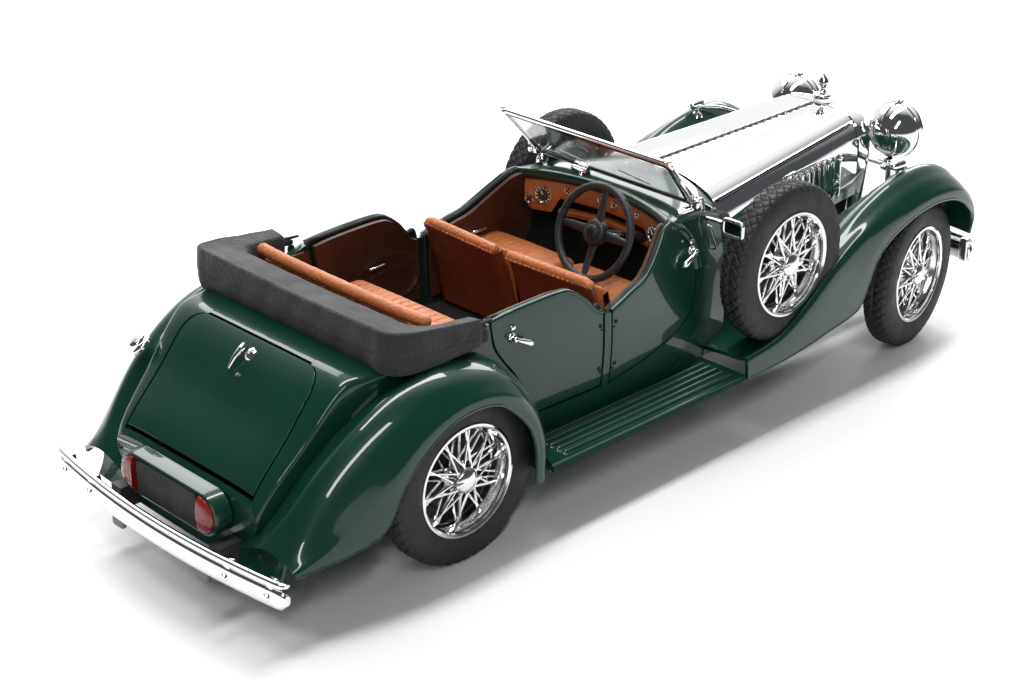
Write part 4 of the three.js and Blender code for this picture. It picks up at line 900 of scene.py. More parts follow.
tail_start = front_axle_x - 1.64 * arch_radius
board_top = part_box("running_board_right")[1].z * 1000
tail_table = np.array(
    [
        [0.2, 16.4, 28.4, 29.0],
        [0.42, 15.3, 23.8, 23.6],
        [0.68, 14.5, 19.8, 19.2],
        [1.0, board_top - 1.3, board_top + 2.9, board_top + 2.4],
    ]
)
tail_at = tail_start + (seam_x - tail_start) * tail_table[:, 0]
lip_z, shoulder_z, crown_z = tail_table[:, 1:].T
tail_heights = [
    lip_z, lip_z * 0.45 + shoulder_z * 0.55, shoulder_z, shoulder_z * 0.38 + crown_z * 0.62, crown_z,
]
tail_rails = [
    np.stack([tail_at, np.full(4, wing_outer - d), h], -1) for d, h in zip(
        [0, 0.05, 0.7, 3.1, 6.6], tail_heights,
    )
]
front_rails = [np.concatenate([a, b]) for a, b in zip(front_rails, tail_rails)]
front_crown = front_rails[-1]
apron_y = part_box("front_wing_left")[0].y * 1000
is_tail = np.arange(len(front_crown)) >= len(front_rows)
foot_z = np.where(is_tail, front_crown[:, 2] - 1, np.minimum(29.5, front_crown[:, 2] - 2.2))
for out, share in ((5.4, 0.5), (2.4, 0.16), (0.0, 0.0)):
    z = foot_z + (front_crown[:, 2] - foot_z) * share
    y = np.maximum(
        apron_y + out, np.where(front_crown[:, 0] < scuttle_x + 1, body_y(front_crown[:, 0], z) - 0.6, 0),
    )
    front_rails.append(np.stack([front_crown[:, 0], y, z], -1))
apron_low = front_rails[-1].copy()
apron_low[:, 2] = np.minimum(
    apron_low[:, 2] - 0.5, np.where(np.abs(apron_low[:, 0] - front_axle_x + 4) < 14, 22.5, 15.0),
)
front_rails.append(apron_low)
front_wing_grid = mirror_down(fine_grid(front_rails, 130, 60))

for name, side in (("right", -1), ("left", 1)):
    for place, grid in (("rear", rear_wing_grid), ("front", front_wing_grid)):
        lip = tube(grid[:, 0] + [0, 0.35, 0], 0.42, 8, reference=(0, 1, 0))
        shells = both_sides([plate(grid, 0.8), lip], side)
        wing = make_piece(f"{place}_wing_skin_{name}", shells, "car", green_enamel, bevel=0.1)
        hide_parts(f"{place}_wing_{name}")


# ---- Running boards ------------------------------------------------------------------------------
# A flat board from wing to wing on each side, with five raised treads that have rounded ends.
board_low, board_high = [corner * 1000 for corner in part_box("running_board_right")]
board_x0, board_x1 = board_low.x - rear_axle_x, board_high.x - rear_axle_x
tread_y = -(wing_outer - 2.4 - 1.75 * np.arange(5))
board_s = np.linspace(0, 1, 160)[:, None]
board_y_values = np.linspace(-wing_outer, -15.6, 150)[None]
board_start = board_x0 - 1.6 * np.clip((np.abs(board_y_values) - 31) / 4, 0, 1)
board_x = board_start + (board_x1 - board_start) * board_s
board_y = np.broadcast_to(board_y_values, board_x.shape)
board_z = np.full(board_x.shape, board_top - 0.55)
for middle in tread_y:
    beside = np.maximum(np.maximum(22.0 - board_x, board_x - 68.0), 0)
    away = np.hypot(board_y - middle, beside) / 0.62
    board_z = np.maximum(board_z, board_top - 0.55 + 0.6 * np.sqrt(np.clip(1 - away**2, 0, 1)))
edge_fall = np.clip((-board_y - (wing_outer - 1.0)) / 1.0, 0, 1)
board_z = board_z - 0.9 * (1 - np.sqrt(np.clip(1 - edge_fall**2, 0, 1)))
board_grid = np.stack([board_x, board_y, board_z], -1)
for name, side in (("right", -1), ("left", 1)):
    shells = both_sides([plate(board_grid, -1.9)], side)
    board = make_piece(f"board_{name}", shells, "car", green_enamel, sharp=60)
    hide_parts(f"running_board_{name}")


# ---- Wheels and tyres ----------------------------------------------------------------------------
# Six plated wire wheels, two rows of crossed spokes between a turned rim and a hub with a two-eared
# spinner, in soft black rubber tyres with a block tread. Two of them stand in the front wings.
tyre_radius = (tyre_high.z - tyre_low.z) * 500
tyre_half = (tyre_high.y - tyre_low.y) * 500
around = np.linspace(0, 2 * np.pi, 528, endpoint=False)[:, None]
section = np.array(
    [
        [9.9, -2.2],
        [10.6, -2.5],
        [11.6, -2.85],
        [13.2, -3.0],
        [14.6, -2.9],
        [15.5, -2.6],
        [16.05, -2.25],
        [16.36, -1.6],
        [16.45, -0.8],
        [16.45, 0.0],
    ]
)
half_section = smooth_curve(section, 34)
profile = np.concatenate([half_section, half_section[-2::-1] * [1, -1]])
radius = profile[None, :, 0] * tyre_radius / 16.45
across = profile[None, :, 1] * tyre_half / 3.0
lozenges = 46
turn_share = around * lozenges / (2 * np.pi)
slant = across / 2.3
groove = np.minimum(
    np.abs((turn_share + slant) % 1 - 0.5), np.abs((turn_share - slant) % 1 - 0.5)
)
tread_zone = np.clip((radius - 15.0) / 0.5, 0, 1)
cut = 0.42 * tread_zone * np.clip(1 - groove / 0.11, 0, 1)
centre_groove = 0.3 * np.exp(-((across / 0.28) ** 2)) * (radius > 15.5)
radius = radius - np.maximum(cut, centre_groove)
across = np.broadcast_to(across, radius.shape)
tyre_points = np.stack([radius * np.sin(around), across, radius * np.cos(around)], axis=-1)
tyre_shell = (
    tyre_points.reshape(-1, 3), [grid_faces(len(around), len(profile), wrap_rows=True, wrap_columns=True)],
)

rim_profile = [
    [9.0, -2.2],
    [10.2, -2.3],
    [10.2, -1.9],
    [9.5, -1.5],
    [9.2, -0.4],
    [9.2, 0.6],
    [9.6, 1.3],
    [9.9, 1.9],
    [10.0, 2.7],
    [10.35, 2.98],
    [10.75, 2.9],
    [10.85, 2.55],
    [10.38, 2.3],
    [10.38, -2.5],
    [9.0, -2.5],
]
rim_shell = lathe(rim_profile, (0, 0, 0), (0, 1, 0), 72)
rim_shell = (rim_shell[0], [grid_faces(len(rim_profile), 72, wrap_rows=True, wrap_columns=True)])
hub_shell = lathe(
    [
        [0, -1.1],
        [2.5, -1.1],
        [2.6, -0.6],
        [2.0, -0.2],
        [1.8, 1.4],
        [2.35, 2.0],
        [2.45, 2.6],
        [2.3, 2.9],
        [1.9, 3.15],
        [1.2, 3.45],
        [0.5, 3.6],
        [0, 3.62],
    ],
    (0, 0, 0),
    (0, 1, 0),
    28,
)
ears = [rounded_block((0, 3.05, 0), (6.2, 0.7, 1.15), power=3.0)]


def spoke_row(count, hub_r, hub_y, rim_r, rim_y, lean, offset):
    """Straight hexagonal rods from hub to rim, each rod leaning round the wheel by lean radians."""
    start = offset + np.arange(count) * 2 * np.pi / count
    sign = np.where(np.arange(count) % 2 == 0, 1, -1)
    hub = np.stack([hub_r * np.sin(start), np.full(count, hub_y), hub_r * np.cos(start)], -1)
    end = start + sign * lean
    rim = np.stack([rim_r * np.sin(end), np.full(count, rim_y), rim_r * np.cos(end)], -1)
    along = (rim - hub) / np.linalg.norm(rim - hub, axis=1, keepdims=True)
    side_way = np.cross(along, [0, 1, 0])
    side_way /= np.linalg.norm(side_way, axis=1, keepdims=True)
    up_way = np.cross(side_way, along)
    turn = np.linspace(0, 2 * np.pi, 6, endpoint=False)
    ring = np.cos(turn)[None, :, None] * side_way[:, None] + np.sin(turn)[None, :, None] * up_way[:, None]
    rods = np.stack([hub[:, None] + 0.25 * ring, rim[:, None] + 0.23 * ring], axis=1)
    base = np.arange(count)[:, None] * 12
    k = np.arange(6)[None]
    sides = np.stack([base + k, base + (k + 1) % 6, base + 6 + (k + 1) % 6, base + 6 + k], axis=-1)
    return rods.reshape(-1, 3), [sides.reshape(-1, 4)]


wheel_shells = [rim_shell, hub_shell, *ears]
wheel_shells.append(spoke_row(20, 2.2, 2.3, 9.75, 1.0, 0.52, 0.0))
wheel_shells.append(spoke_row(20, 2.4, -0.8, 9.45, 0.1, 0.42, 0.157))
drum_shell = lathe(
    [[0, -2.3], [8.9, -2.3], [8.95, -2.0], [6.8, -1.9], [6.6, -1.5], [5.6, -1.4], [5.2, -1.65], [0, -1.65]],
    (0, 0, 0),
    (0, 1, 0),
    40,
)

tyre_rubber = finish_material(
    "tyre_rubber", (0.008, 0.008, 0.009), (0.014, 0.014, 0.015), (0.55, 0.72), grain=(0.15, 2500),
)
drum_iron = finish_material(
    "drum_iron", (0.01, 0.01, 0.011), (0.022, 0.022, 0.023), (0.45, 0.65), metallic=0.2, grain=(0.1, 1200),
)
spoke_plate = finish_material(
    "spoke_plate", (0.8, 0.8, 0.79), (0.88, 0.88, 0.87), (0.1, 0.2), metallic=1.0, grain=(0.03, 700)
)


def placed(shells, centre, side, steer):
    """Wheel shells with their outer face turned to a side, steered, and moved to a centre."""
    turn = np.radians(steer) + (0 if side > 0 else np.pi)
    spin = np.array([[np.cos(turn), -np.sin(turn), 0], [np.sin(turn), np.cos(turn), 0], [0, 0, 1]])
    return [(np.reshape(p, (-1, 3)) @ spin.T + centre, f) for p, f in shells]


spin_axis = next(
    j["axis"] for j in frame["record"]["behaviour"]["joints"] if j["name"] == "wheel_front_left_spin"
)
steer_rest = np.degrees(np.arctan2(-spin_axis[0], spin_axis[1]))
for name, side in (("right", -1), ("left", 1)):
    for place, body, steer in (
        ("rear", f"wheel_rear_{name}", 0.0), ("front", f"wheel_front_{name}", steer_rest),
    ):
        centre = np.array(joint_place[f"wheel_{place}_{name}_spin"]) * 1000 - [rear_axle_x, 0, 0]
        tyre = make_piece(
            f"tread_{place}_{name}",
            placed([tyre_shell], centre, side, steer),
            body,
            tyre_rubber,
            sharp=50,
        )
        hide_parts(f"tyre_{place}_{name}")
        wheel = make_piece(
            f"wheel_{place}_{name}", placed(wheel_shells, centre, side, steer), body, spoke_plate,
        )
        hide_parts(f"wire_wheel_{place}_{name}")
        make_piece(
            f"brake_drum_{place}_{name}", placed([drum_shell], centre, side, steer), body, drum_iron,
        )
    low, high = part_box(f"spare_wheel_{name}")
    spare_centre = np.array([(low.x + high.x) / 2, side * 0.0308, (low.z + high.z) / 2]) * 1000 - [rear_axle_x, 0, 0]
    spare = make_piece(
        f"spare_tyre_{name}",
        placed([tyre_shell], spare_centre, side, 0),
        "car",
        tyre_rubber,
        sharp=50,
    )
    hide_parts(f"spare_wheel_{name}")
    make_piece(
        f"spare_wire_wheel_{name}", placed(wheel_shells, spare_centre, side, 0), "car", spoke_plate,
    )
    make_piece(
        f"spare_backing_{name}", placed([drum_shell], spare_centre, side, 0), "car", drum_iron,
    )

# ---- Bonnet --------------------------------------------------------------------------------------
# Two plated pressings that meet in a piano hinge along the middle. Each has a flat top that folds
# over at a hinge line into a side panel, which has a row of upright louvres pressed out of it.
bonnet_rear_x = scuttle_x + 0.3
bonnet_front_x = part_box("bonnet_right")[1].x * 1000 - rear_axle_x
bonnet_low_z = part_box("bonnet_right")[0].z * 1000
bonnet_rear = [
    [0.3, 48.2],
    [6, 47.9],
    [11, 46.9],
    [14.6, 45.6],
    [16.6, 44.0],
    [18.1, 41],
    [18.8, 37.0],
    [19.2, bonnet_low_z],
]
bonnet_front = [
    [0.3, 49],
    [4, 48.95],
    [7.2, 48.75],
    [9.2, 48.2],
    [10.6, 46.9],
    [12.1, 44.4],
    [12.7, 40.5],
    [13, bonnet_low_z],
]
section_count = 120
rear_line, front_line = smooth_curve(bonnet_rear, section_count), smooth_curve(bonnet_front, section_count)
bonnet_run = np.linspace(0, 1, 260)[:, None]
bonnet_x = bonnet_rear_x + (bonnet_front_x - bonnet_rear_x) * bonnet_run + 0 * rear_line[None, :, 0]
bonnet_y = rear_line[None, :, 0] * (1 - bonnet_run) + front_line[None, :, 0] * bonnet_run
bonnet_z = rear_line[None, :, 1] * (1 - bonnet_run) + front_line[None, :, 1] * bonnet_run
bonnet_skin = np.stack([bonnet_x, -bonnet_y, bonnet_z], -1)
down_side = np.linspace(0, 1, section_count)[None]
louvre_run = (bonnet_run - 0.3) / 0.042
in_row = (louvre_run > 0) & (louvre_run < 14)
side_drop = (44.0 - bonnet_z) / 1.0
in_height = np.clip(np.minimum(side_drop - 2.0, 11.5 - side_drop) / 0.8, 0, 1)
slat = np.where(in_row, np.clip(1 - (louvre_run % 1) / 0.62, 0, 1) * np.clip((louvre_run % 1) / 0.1, 0, 1), 0)
raise_out = 0.75 * slat * in_height
bonnet_skin[..., 1] -= raise_out
crease_w = 4 / 7
crease = 0.35 * np.exp(-(((down_side - crease_w) / 0.011) ** 2))
bonnet_skin += crease[..., None] * np.array([0, -0.5, 0.85])

bonnet_plate = finish_material(
    "bonnet_plate", (0.9, 0.9, 0.9), (0.94, 0.94, 0.94), (0.03, 0.07), metallic=1.0, grain=(0.02, 300)
)
for name, side in (("right", -1), ("left", 1)):
    half = make_piece(
        f"bonnet_half_{name}",
        both_sides([plate(bonnet_skin, 0.9)], side),
        f"bonnet_{name}",
        bonnet_plate,
        sharp=30,
    )
    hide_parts(f"bonnet_{name}")
    crease_path = bonnet_skin[6:-6:8, round(crease_w * (section_count - 1))] + np.array([0, 0.1, -0.1])
    gap_path = crease_path + np.array([0, -0.55, -0.35])
    gap_strip = make_piece(
        f"bonnet_crease_{name}",
        both_sides([tube(gap_path, 0.22, 8)], side),
        f"bonnet_{name}",
        black_parts_and_painted_shade,
    )
    clip_at = [bonnet_skin[row, round(0.93 * (section_count - 1))] for row in (40, 215)]
    clips = [rounded_block(p + np.array([0, -0.25, 0]), (2.6, 0.9, 1.3)) for p in clip_at]
    clips += [
        tube(np.array([p + [0, -0.7, 0.6], p + [0, -1.0, 1.8], p + [0, -0.4, 2.9]]), 0.28, 8) for p in clip_at
    ]
    make_piece(f"bonnet_catch_{name}", both_sides(clips, side), f"bonnet_{name}", bright_plate)
hinge_line = np.stack(
    [np.linspace(bonnet_rear_x + 0.4, bonnet_front_x - 0.4, 90), np.zeros(90), np.linspace(48.35, 49.15, 90)],
    -1,
)
knuckled = 0.36 + 0.07 * np.sign(np.sin(np.arange(90) * 1.6))
make_piece("bonnet_piano_hinge", [tube(hinge_line, knuckled, 10)], "car", bright_plate, sharp=30)


# ---- Radiator ------------------------------------------------------------------------------------
# A tall plated shell with an upright-slatted grille set back in it, and a plain turned finial on the
# filler. Nothing is lettered.
shell_low, shell_high = [corner * 1000 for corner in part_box("radiator_shell")]
shell_x0, shell_x1 = shell_low.x - rear_axle_x, shell_high.x - rear_axle_x
shell_half = [
    [0, shell_high.z],
    [5, 48.9],
    [9.2, 48.1],
    [11.8, 45.6],
    [12.7, 41.5],
    [12.4, 33],
    [11.4, 23],
    [10.5, shell_low.z],
]
shell_line = smooth_curve(shell_half, 60)
shell_line = np.concatenate([shell_line[::-1] * [-1, 1], shell_line[1:]])
shell_steps = np.array(
    [
        [0, 0.25],
        [0.3, 0.0],
        [3.4, 0.0],
        [4.5, 0.2],
        [4.8, 0.55],
        [4.7, 1.1],
        [4.2, 1.5],
        [3.4, 1.65],
        [0.2, 1.6],
        [0, 1.2],
    ]
)
inset_share = shell_steps[:, 1][:, None]
shell_y = shell_line[None, :, 0] * (1 - inset_share / 12.7)
shell_z = shell_line[None, :, 1] + (33 - shell_line[None, :, 1]) * inset_share / 15.6
shell_x = shell_x0 + shell_steps[:, 0][:, None] * (shell_x1 - shell_x0) / 4.8 + 0 * shell_y
shell_grid = np.stack([shell_x, shell_y, shell_z], -1)
loop_faces = grid_faces(len(shell_steps), shell_grid.shape[1], wrap_rows=True)
foot = np.arange(len(shell_steps)) * shell_grid.shape[1]
shell_shell = (
    shell_grid.reshape(-1, 3), [loop_faces, foot[None], (foot + shell_grid.shape[1] - 1)[None, ::-1]],
)
radiator = make_piece("radiator_surround", [shell_shell], "car", bright_plate)
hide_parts("radiator_shell")

core_line = np.stack(
    [shell_line[:, 0] * (1 - 1.9 / 12.7), shell_line[:, 1] + (33 - shell_line[:, 1]) * 1.9 / 15.6], -1,
)
core_front = shell_x1 - 1.4
core_grid = np.stack(
    [
        np.stack([np.full(len(core_line), x), core_line[:, 0], core_line[:, 1]], -1) for x in (shell_x0 + 0.6, core_front)
    ]
)
core_count = len(core_line)
core_shell = (
    core_grid.reshape(-1, 3),
    [
        grid_faces(2, core_count, wrap_columns=True),
        np.arange(core_count)[None, ::-1],
        core_count + np.arange(core_count)[None],
    ],
)
slat_y = np.linspace(-9.2, 9.2, 24)
slat_top = np.interp(np.abs(slat_y), core_line[core_count // 2 :, 0][:14], core_line[core_count // 2 :, 1][:14]) - 0.7
slats = [
    rounded_block((core_front + 0.35, y, (top + 21.5) / 2), (1.0, 0.34, top - 21.5), power=6, count=8)
    for y, top in zip(slat_y, slat_top)
]
radiator_core = make_piece("radiator_core", [core_shell], "car", drum_iron)
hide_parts("radiator_grille")
make_piece("radiator_slats", slats, "car", bright_plate)

finial_low, finial_high = [corner * 1000 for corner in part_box("radiator_mascot")]
finial_profile = smooth_curve(
    [[2.1, 0], [2.0, 0.7], [1.1, 1.2], [0.6, 1.9], [1.25, 3.1], [1.0, 4.2], [0.35, 5.0], [0.05, 5.4]], 44,
)
finial_profile = np.concatenate([[[0, 0]], finial_profile])
finial_x = (finial_low.x + finial_high.x) / 2 - rear_axle_x
finial = make_piece(
    "turned_finial",
    [lathe(finial_profile, (finial_x, 0, finial_low.z), (0, 0, 1), 36)],
    "car",
    bright_plate,
)
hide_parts("radiator_mascot")


# ---- Lamps ---------------------------------------------------------------------------------------
# Deep plated bowls on posts from a cross bar, each with a ridge and a clip on top and a domed glass.
# The bar's ends pass through the wings' aprons, and a bracket carries a small side lamp on each wing.
bowl_low, bowl_high = [corner * 1000 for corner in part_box("headlamp_bowl_right")]
bowl_x, bowl_y, bowl_z = bowl_low.x - rear_axle_x, (bowl_low.y + bowl_high.y) / 2, (bowl_low.z + bowl_high.z) / 2
bowl_r = (bowl_high.z - bowl_low.z) / 2
bowl_depth = bowl_high.x - bowl_low.x
bowl_line = smooth_curve(
    [[0.02, 0], [1.4, 0.12], [2.9, 0.62], [4.4, 1.75], [5.5, 3.3], [6.05, 5.0], [6.1, 6.1]], 40,
)
bowl_line = bowl_line * [bowl_r / 6.3, 1]
rim_line = [
    [6.15, 6.15],
    [6.3, 6.25],
    [6.3, 7.0],
    [6.2, 7.5],
    [6.3, 7.8],
    [6.15, 8.15],
    [5.7, 8.2],
    [5.6, 7.6],
    [5.5, 6.2],
    [5.0, 4.2],
    [3.6, 2.2],
    [1.5, 1.2],
    [0.02, 1.0],
]
bowl_profile = np.concatenate([bowl_line, rim_line])
lens_profile = smooth_curve(
    [
        [5.45, bowl_depth - 0.6],
        [5.4, bowl_depth - 0.1],
        [4.2, bowl_depth + 0.42],
        [2.2, bowl_depth + 0.72],
        [0.02, bowl_depth + 0.8],
    ],
    26,
)
lens_profile = np.concatenate([lens_profile, [[0.02, bowl_depth - 0.1], [4.6, bowl_depth - 0.6]]])
clear_glass = bpy.data.materials.new("clear_glass")
clear_glass.use_nodes = True
glass_tree = clear_glass.node_tree
glass_shader = glass_tree.nodes["Principled BSDF"]
glass_shader.inputs["Transmission Weight"].default_value = 1.0
glass_shader.inputs["IOR"].default_value = 1.45
glass_cloud = glass_tree.nodes.new("ShaderNodeGroup")
glass_cloud.node_tree = cloudy
glass_cloud.inputs["Scale"].default_value = 90
glass_cloud.inputs["Low"].default_value = 0.02
glass_cloud.inputs["High"].default_value = 0.07
glass_tree.links.new(glass_cloud.outputs["Value"], glass_shader.inputs["Roughness"])
glass_tint = glass_tree.nodes.new("ShaderNodeMix")
glass_tint.data_type = "RGBA"
glass_tint.inputs["A"].default_value = (0.93, 0.95, 0.95, 1)
glass_tint.inputs["B"].default_value = (0.98, 0.99, 0.99, 1)
glass_tree.links.new(glass_cloud.outputs["Value"], glass_tint.inputs["Factor"])
glass_tree.links.new(glass_tint.outputs["Result"], glass_shader.inputs["Base Color"])

for name, side in (("right", -1), ("left", 1)):
    centre = (bowl_x, bowl_y, bowl_z)
    ridge = tube(
        [[bowl_x + s, bowl_y, bowl_z + r + 0.08] for r, s in bowl_line[14::4]], np.linspace(0.18, 0.32, 7), 8, reference=(0, 1, 0)
    )
    bowl_shells = [lathe(bowl_profile, centre, (1, 0, 0), 64), ridge]
    bowl_shells.append(
        rounded_block((bowl_x + bowl_depth - 0.9, bowl_y, bowl_z + bowl_r + 0.15), (1.5, 1.1, 0.7))
    )
    bowl = make_piece(f"lamp_bowl_{name}", both_sides(bowl_shells, side), "car", bright_plate)
    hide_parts(f"headlamp_bowl_{name}")
    lens = make_piece(
        f"lamp_glass_{name}",
        both_sides([lathe(lens_profile, centre, (1, 0, 0), 48)], side),
        "car",
        clear_glass,
    )
    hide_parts(f"headlamp_lens_{name}")

bar_low, bar_high = [corner * 1000 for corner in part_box("lamp_bar")]
bar_x = (bar_low.x + bar_high.x) / 2 - rear_axle_x
bar_z = bowl_z - bowl_r - 1.3
bar_end = bar_high.y
bar_path = np.stack([np.full(60, bar_x), np.linspace(-bar_end, bar_end, 60), np.full(60, bar_z)], -1)
bar_shells = [tube(bar_path, 0.75, 16)]
for side in (-1, 1):
    post_profile = [[0, -1.0], [1.5, -1.0], [1.6, -0.2], [1.0, 0.3], [0.85, 1.0], [1.3, 1.45], [0, 1.5]]
    bar_shells.append(lathe(post_profile, (bar_x, side * -bowl_y, bar_z), (0, 0, 1), 24))
    bar_shells.append(
        tube([[bar_x, side * 14.5, bar_z], [bar_x, side * 14.5, 14.5]], 0.7, 12, reference=(1, 0, 0))
    )
lamp_bar = make_piece("lamp_cross_bar", bar_shells, "car", bright_plate)
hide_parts("lamp_bar")

side_lamp_at = np.array([126.4, -28.0, 43.2])
side_lamp_line = smooth_curve(
    [[0.02, -2.3], [0.6, -2.0], [1.0, -1.2], [1.2, 0.2], [1.25, 1.2], [1.0, 1.7], [0.02, 1.8]], 34,
)
for name, side in (("right", -1), ("left", 1)):
    lamp_shells = [lathe(side_lamp_line, side_lamp_at, (1, 0, 0), 32)]
    arm = smooth_curve(
        [
            [bar_x - 0.2, bowl_y - 0.3, bar_z],
            [139.0, -19.0, 38.2],
            [133.0, -25.0, 41.4],
            [128.0, -27.9, 42.4],
        ],
        24,
    )
    lamp_shells.append(tube(arm, 0.55, 10))
    lamp_shells.append(
        lathe(
            [[0, -2.8], [1.5, -2.8], [1.1, -2.0], [0.5, -1.6], [0.5, -0.8], [0, -0.8]],
            side_lamp_at,
            (0, 0, 1),
            20,
        )
    )
    make_piece(f"side_lamp_{name}", both_sides(lamp_shells, side), "car", bright_plate)


# ---- Bumpers -------------------------------------------------------------------------------------
# A broad plated face under a narrow roll, gently bowed, with blocks behind them and domed bolts in
# the face. Each bumper hangs from the frame on two grey irons.
def bumper_shells(face_x, inward, bow_rate, half_width, bars, bolts, end_drop):
    """Rounded bars swept across the car, with their end blocks and bolt heads."""
    y = np.linspace(-half_width, half_width, 80)
    shells = []
    for low, high in bars:
        middle, half_high = (low + high) / 2, (high - low) / 2
        turn = np.linspace(0, 2 * np.pi, 20, endpoint=False)[None]
        roll = np.clip((np.abs(y) - half_width + 1.6) / 1.6, 0, 1)[:, None]
        depth = 0.62 + 0 * roll
        x = face_x + inward * (
            bow_rate * y[:, None] ** 2 + 0.62 + end_drop * roll**2 - depth * np.cos(turn) * (1 - 0.3 * np.sin(turn) ** 4)
        )
        squared = np.sign(np.sin(turn)) * np.abs(np.sin(turn)) ** 0.6
        z = middle + half_high * squared * np.sqrt(1 - 0.75 * roll**4)
        points = np.stack([x, np.broadcast_to(y[:, None], x.shape), z], -1)
        faces = [
            grid_faces(80, 20, wrap_columns=True), np.stack([np.arange(20)[::-1], 79 * 20 + np.arange(20)]),
        ]
        shells.append((points.reshape(-1, 3), faces))
    low, high = bars[0][0], bars[-1][1]
    for bolt_y in bolts:
        at_x = face_x + inward * bow_rate * bolt_y**2
        shells.append(
            rounded_block(
                (at_x + inward * 1.3, bolt_y, (low + high) / 2), (1.9, 2.2, (high - low) * 0.9), power=5,
            )
        )
        head = [[0, -0.2], [0.75, -0.2], [0.72, 0.25], [0.5, 0.55], [0.02, 0.65]]
        shells.append(
            lathe(head, (at_x + inward * 0.1, bolt_y, (bars[0][0] + bars[0][1]) / 2), (-inward, 0, 0), 20)
        )
    return shells


grey_iron = finish_material(
    "grey_iron", (0.12, 0.12, 0.13), (0.2, 0.2, 0.21), (0.35, 0.5), metallic=0.8, grain=(0.1, 1500),
)
for end, inward, rate, half_width, bars, bolts in (
    ("rear", 1, 0.0025, 33.2, [[9.6, 13.4], [13.55, 14.9]], [-29.8, -20, 20, 29.8]),
    ("front", -1, 0.0014, 30, [[12.6, 17.2], [17.35, 18.9]], [-28, -14.5, 14.5, 28]),
):
    low, high = [corner * 1000 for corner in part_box(f"{end}_bumper")]
    face = (low.x if inward > 0 else high.x) - rear_axle_x
    bumper = make_piece(
        f"{end}_bumper_bars",
        bumper_shells(face, inward, rate, half_width, bars, bolts, 0.5),
        "car",
        bright_plate,
    )
    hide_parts(f"{end}_bumper")
    irons = []
    middle_z = bars[0][0] + 0.4
    for iron_y in (-14.5, 14.5):
        start_x = face + inward * (rate * iron_y**2 + 1.3)
        reach = np.array(
            [
                [start_x, iron_y, middle_z + 0.8],
                [start_x + inward * 3.4, iron_y, 11.9],
                [start_x + inward * 6.5, iron_y, 11.9],
            ]
        )
        irons.append(tube(reach, 1.0, 12, reference=(0, 1, 0)))
        irons.append(
            rounded_block((start_x + inward * 0.2, iron_y * 0.86, bars[0][0] - 1.3), (1.1, 3.4, 2.4), power=5)
        )
    make_piece(f"{end}_bumper_irons", irons, "car", grey_iron)


# ---- Number plate pod and tail lamps -------------------------------------------------------------
# A green pod with round ends stands behind the boot lid. It holds a blank dark plate between two
# red D-shaped lenses.
pod_low, pod_high = [corner * 1000 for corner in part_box("number_plate_box")]
pod_x0, pod_x1 = pod_low.x - rear_axle_x, pod_high.x - rear_axle_x
pod_half, pod_middle = (pod_high.y - pod_low.y) / 2, (pod_high.z + pod_low.z) / 2
pod_round = (pod_high.z - pod_low.z) / 2


def stadium(half_length, radius, x, count=48):
    """A ring of points: two half circles joined by straight sides, at one x."""
    turn = np.linspace(-np.pi / 2, np.pi / 2, count)
    right = np.stack([half_length - radius + radius * np.cos(turn), radius * np.sin(turn)], -1)
    ring = np.concatenate([right, -right])
    return np.stack([np.full(len(ring), x), ring[:, 0], pod_middle + ring[:, 1]], -1)


def ringed(rings):
    """Rings of equal length joined in order, the first and the last one filled."""
    rings = np.stack(rings)
    count = rings.shape[1]
    last = (len(rings) - 1) * count
    faces = [
        grid_faces(len(rings), count, wrap_columns=True),
        np.arange(count)[None, ::-1],
        last + np.arange(count)[None],
    ]
    return rings.reshape(-1, 3), faces


pod_rings = [
    stadium(pod_half, pod_round, pod_x1),
    stadium(pod_half, pod_round, pod_x0 + 0.6),
    stadium(pod_half - 0.15, pod_round - 0.15, pod_x0 + 0.15),
    stadium(pod_half - 0.5, pod_round - 0.5, pod_x0),
    stadium(pod_half - 0.75, pod_round - 0.75, pod_x0 + 0.1),
    stadium(pod_half - 0.8, pod_round - 0.8, pod_x0 + 0.5),
]
pod = make_piece("plate_pod", [ringed(pod_rings)], "car", green_enamel)
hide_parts("number_plate_box")
make_piece(
    "blank_plate",
    [rounded_block((pod_x0 + 0.1, 0, pod_middle), (1.0, 17.6, 2 * pod_round - 1.7), power=12, count=18)],
    "car",
    black_parts_and_painted_shade,
)
red_glass = finish_material(
    "red_glass", (0.13, 0.008, 0.008), (0.24, 0.016, 0.014), (0.2, 0.32), grain=(0.25, 1400), coat=0.3,
)
lens_radius = pod_round - 0.7
dee = np.linspace(-np.pi / 2, np.pi / 2, 40)
for name, side in (("right", -1), ("left", 1)):
    lens_rings = []
    for share, depth in ((1.0, 0.45), (1.0, -0.25), (0.9, -0.65), (0.6, -0.9), (0.2, -1.0)):
        flat_y = pod_half - 0.7 - lens_radius - 0.9
        dee_y = flat_y + 0.45 + (lens_radius + 0.45) * np.cos(dee) * share - 0.2 * (1 - share)
        dee_z = pod_middle + lens_radius * np.sin(dee) * share
        ring = np.stack([np.full(40, pod_x0 + depth), -dee_y, dee_z], -1)
        chord = ring[-1] + (ring[0] - ring[-1]) * np.linspace(0, 1, 12)[1:-1, None]
        lens_rings.append(np.concatenate([ring, chord]))
    red = make_piece(f"red_lens_{name}", both_sides([ringed(lens_rings)], side), "car", red_glass)
    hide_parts(f"tail_lamp_{name}")


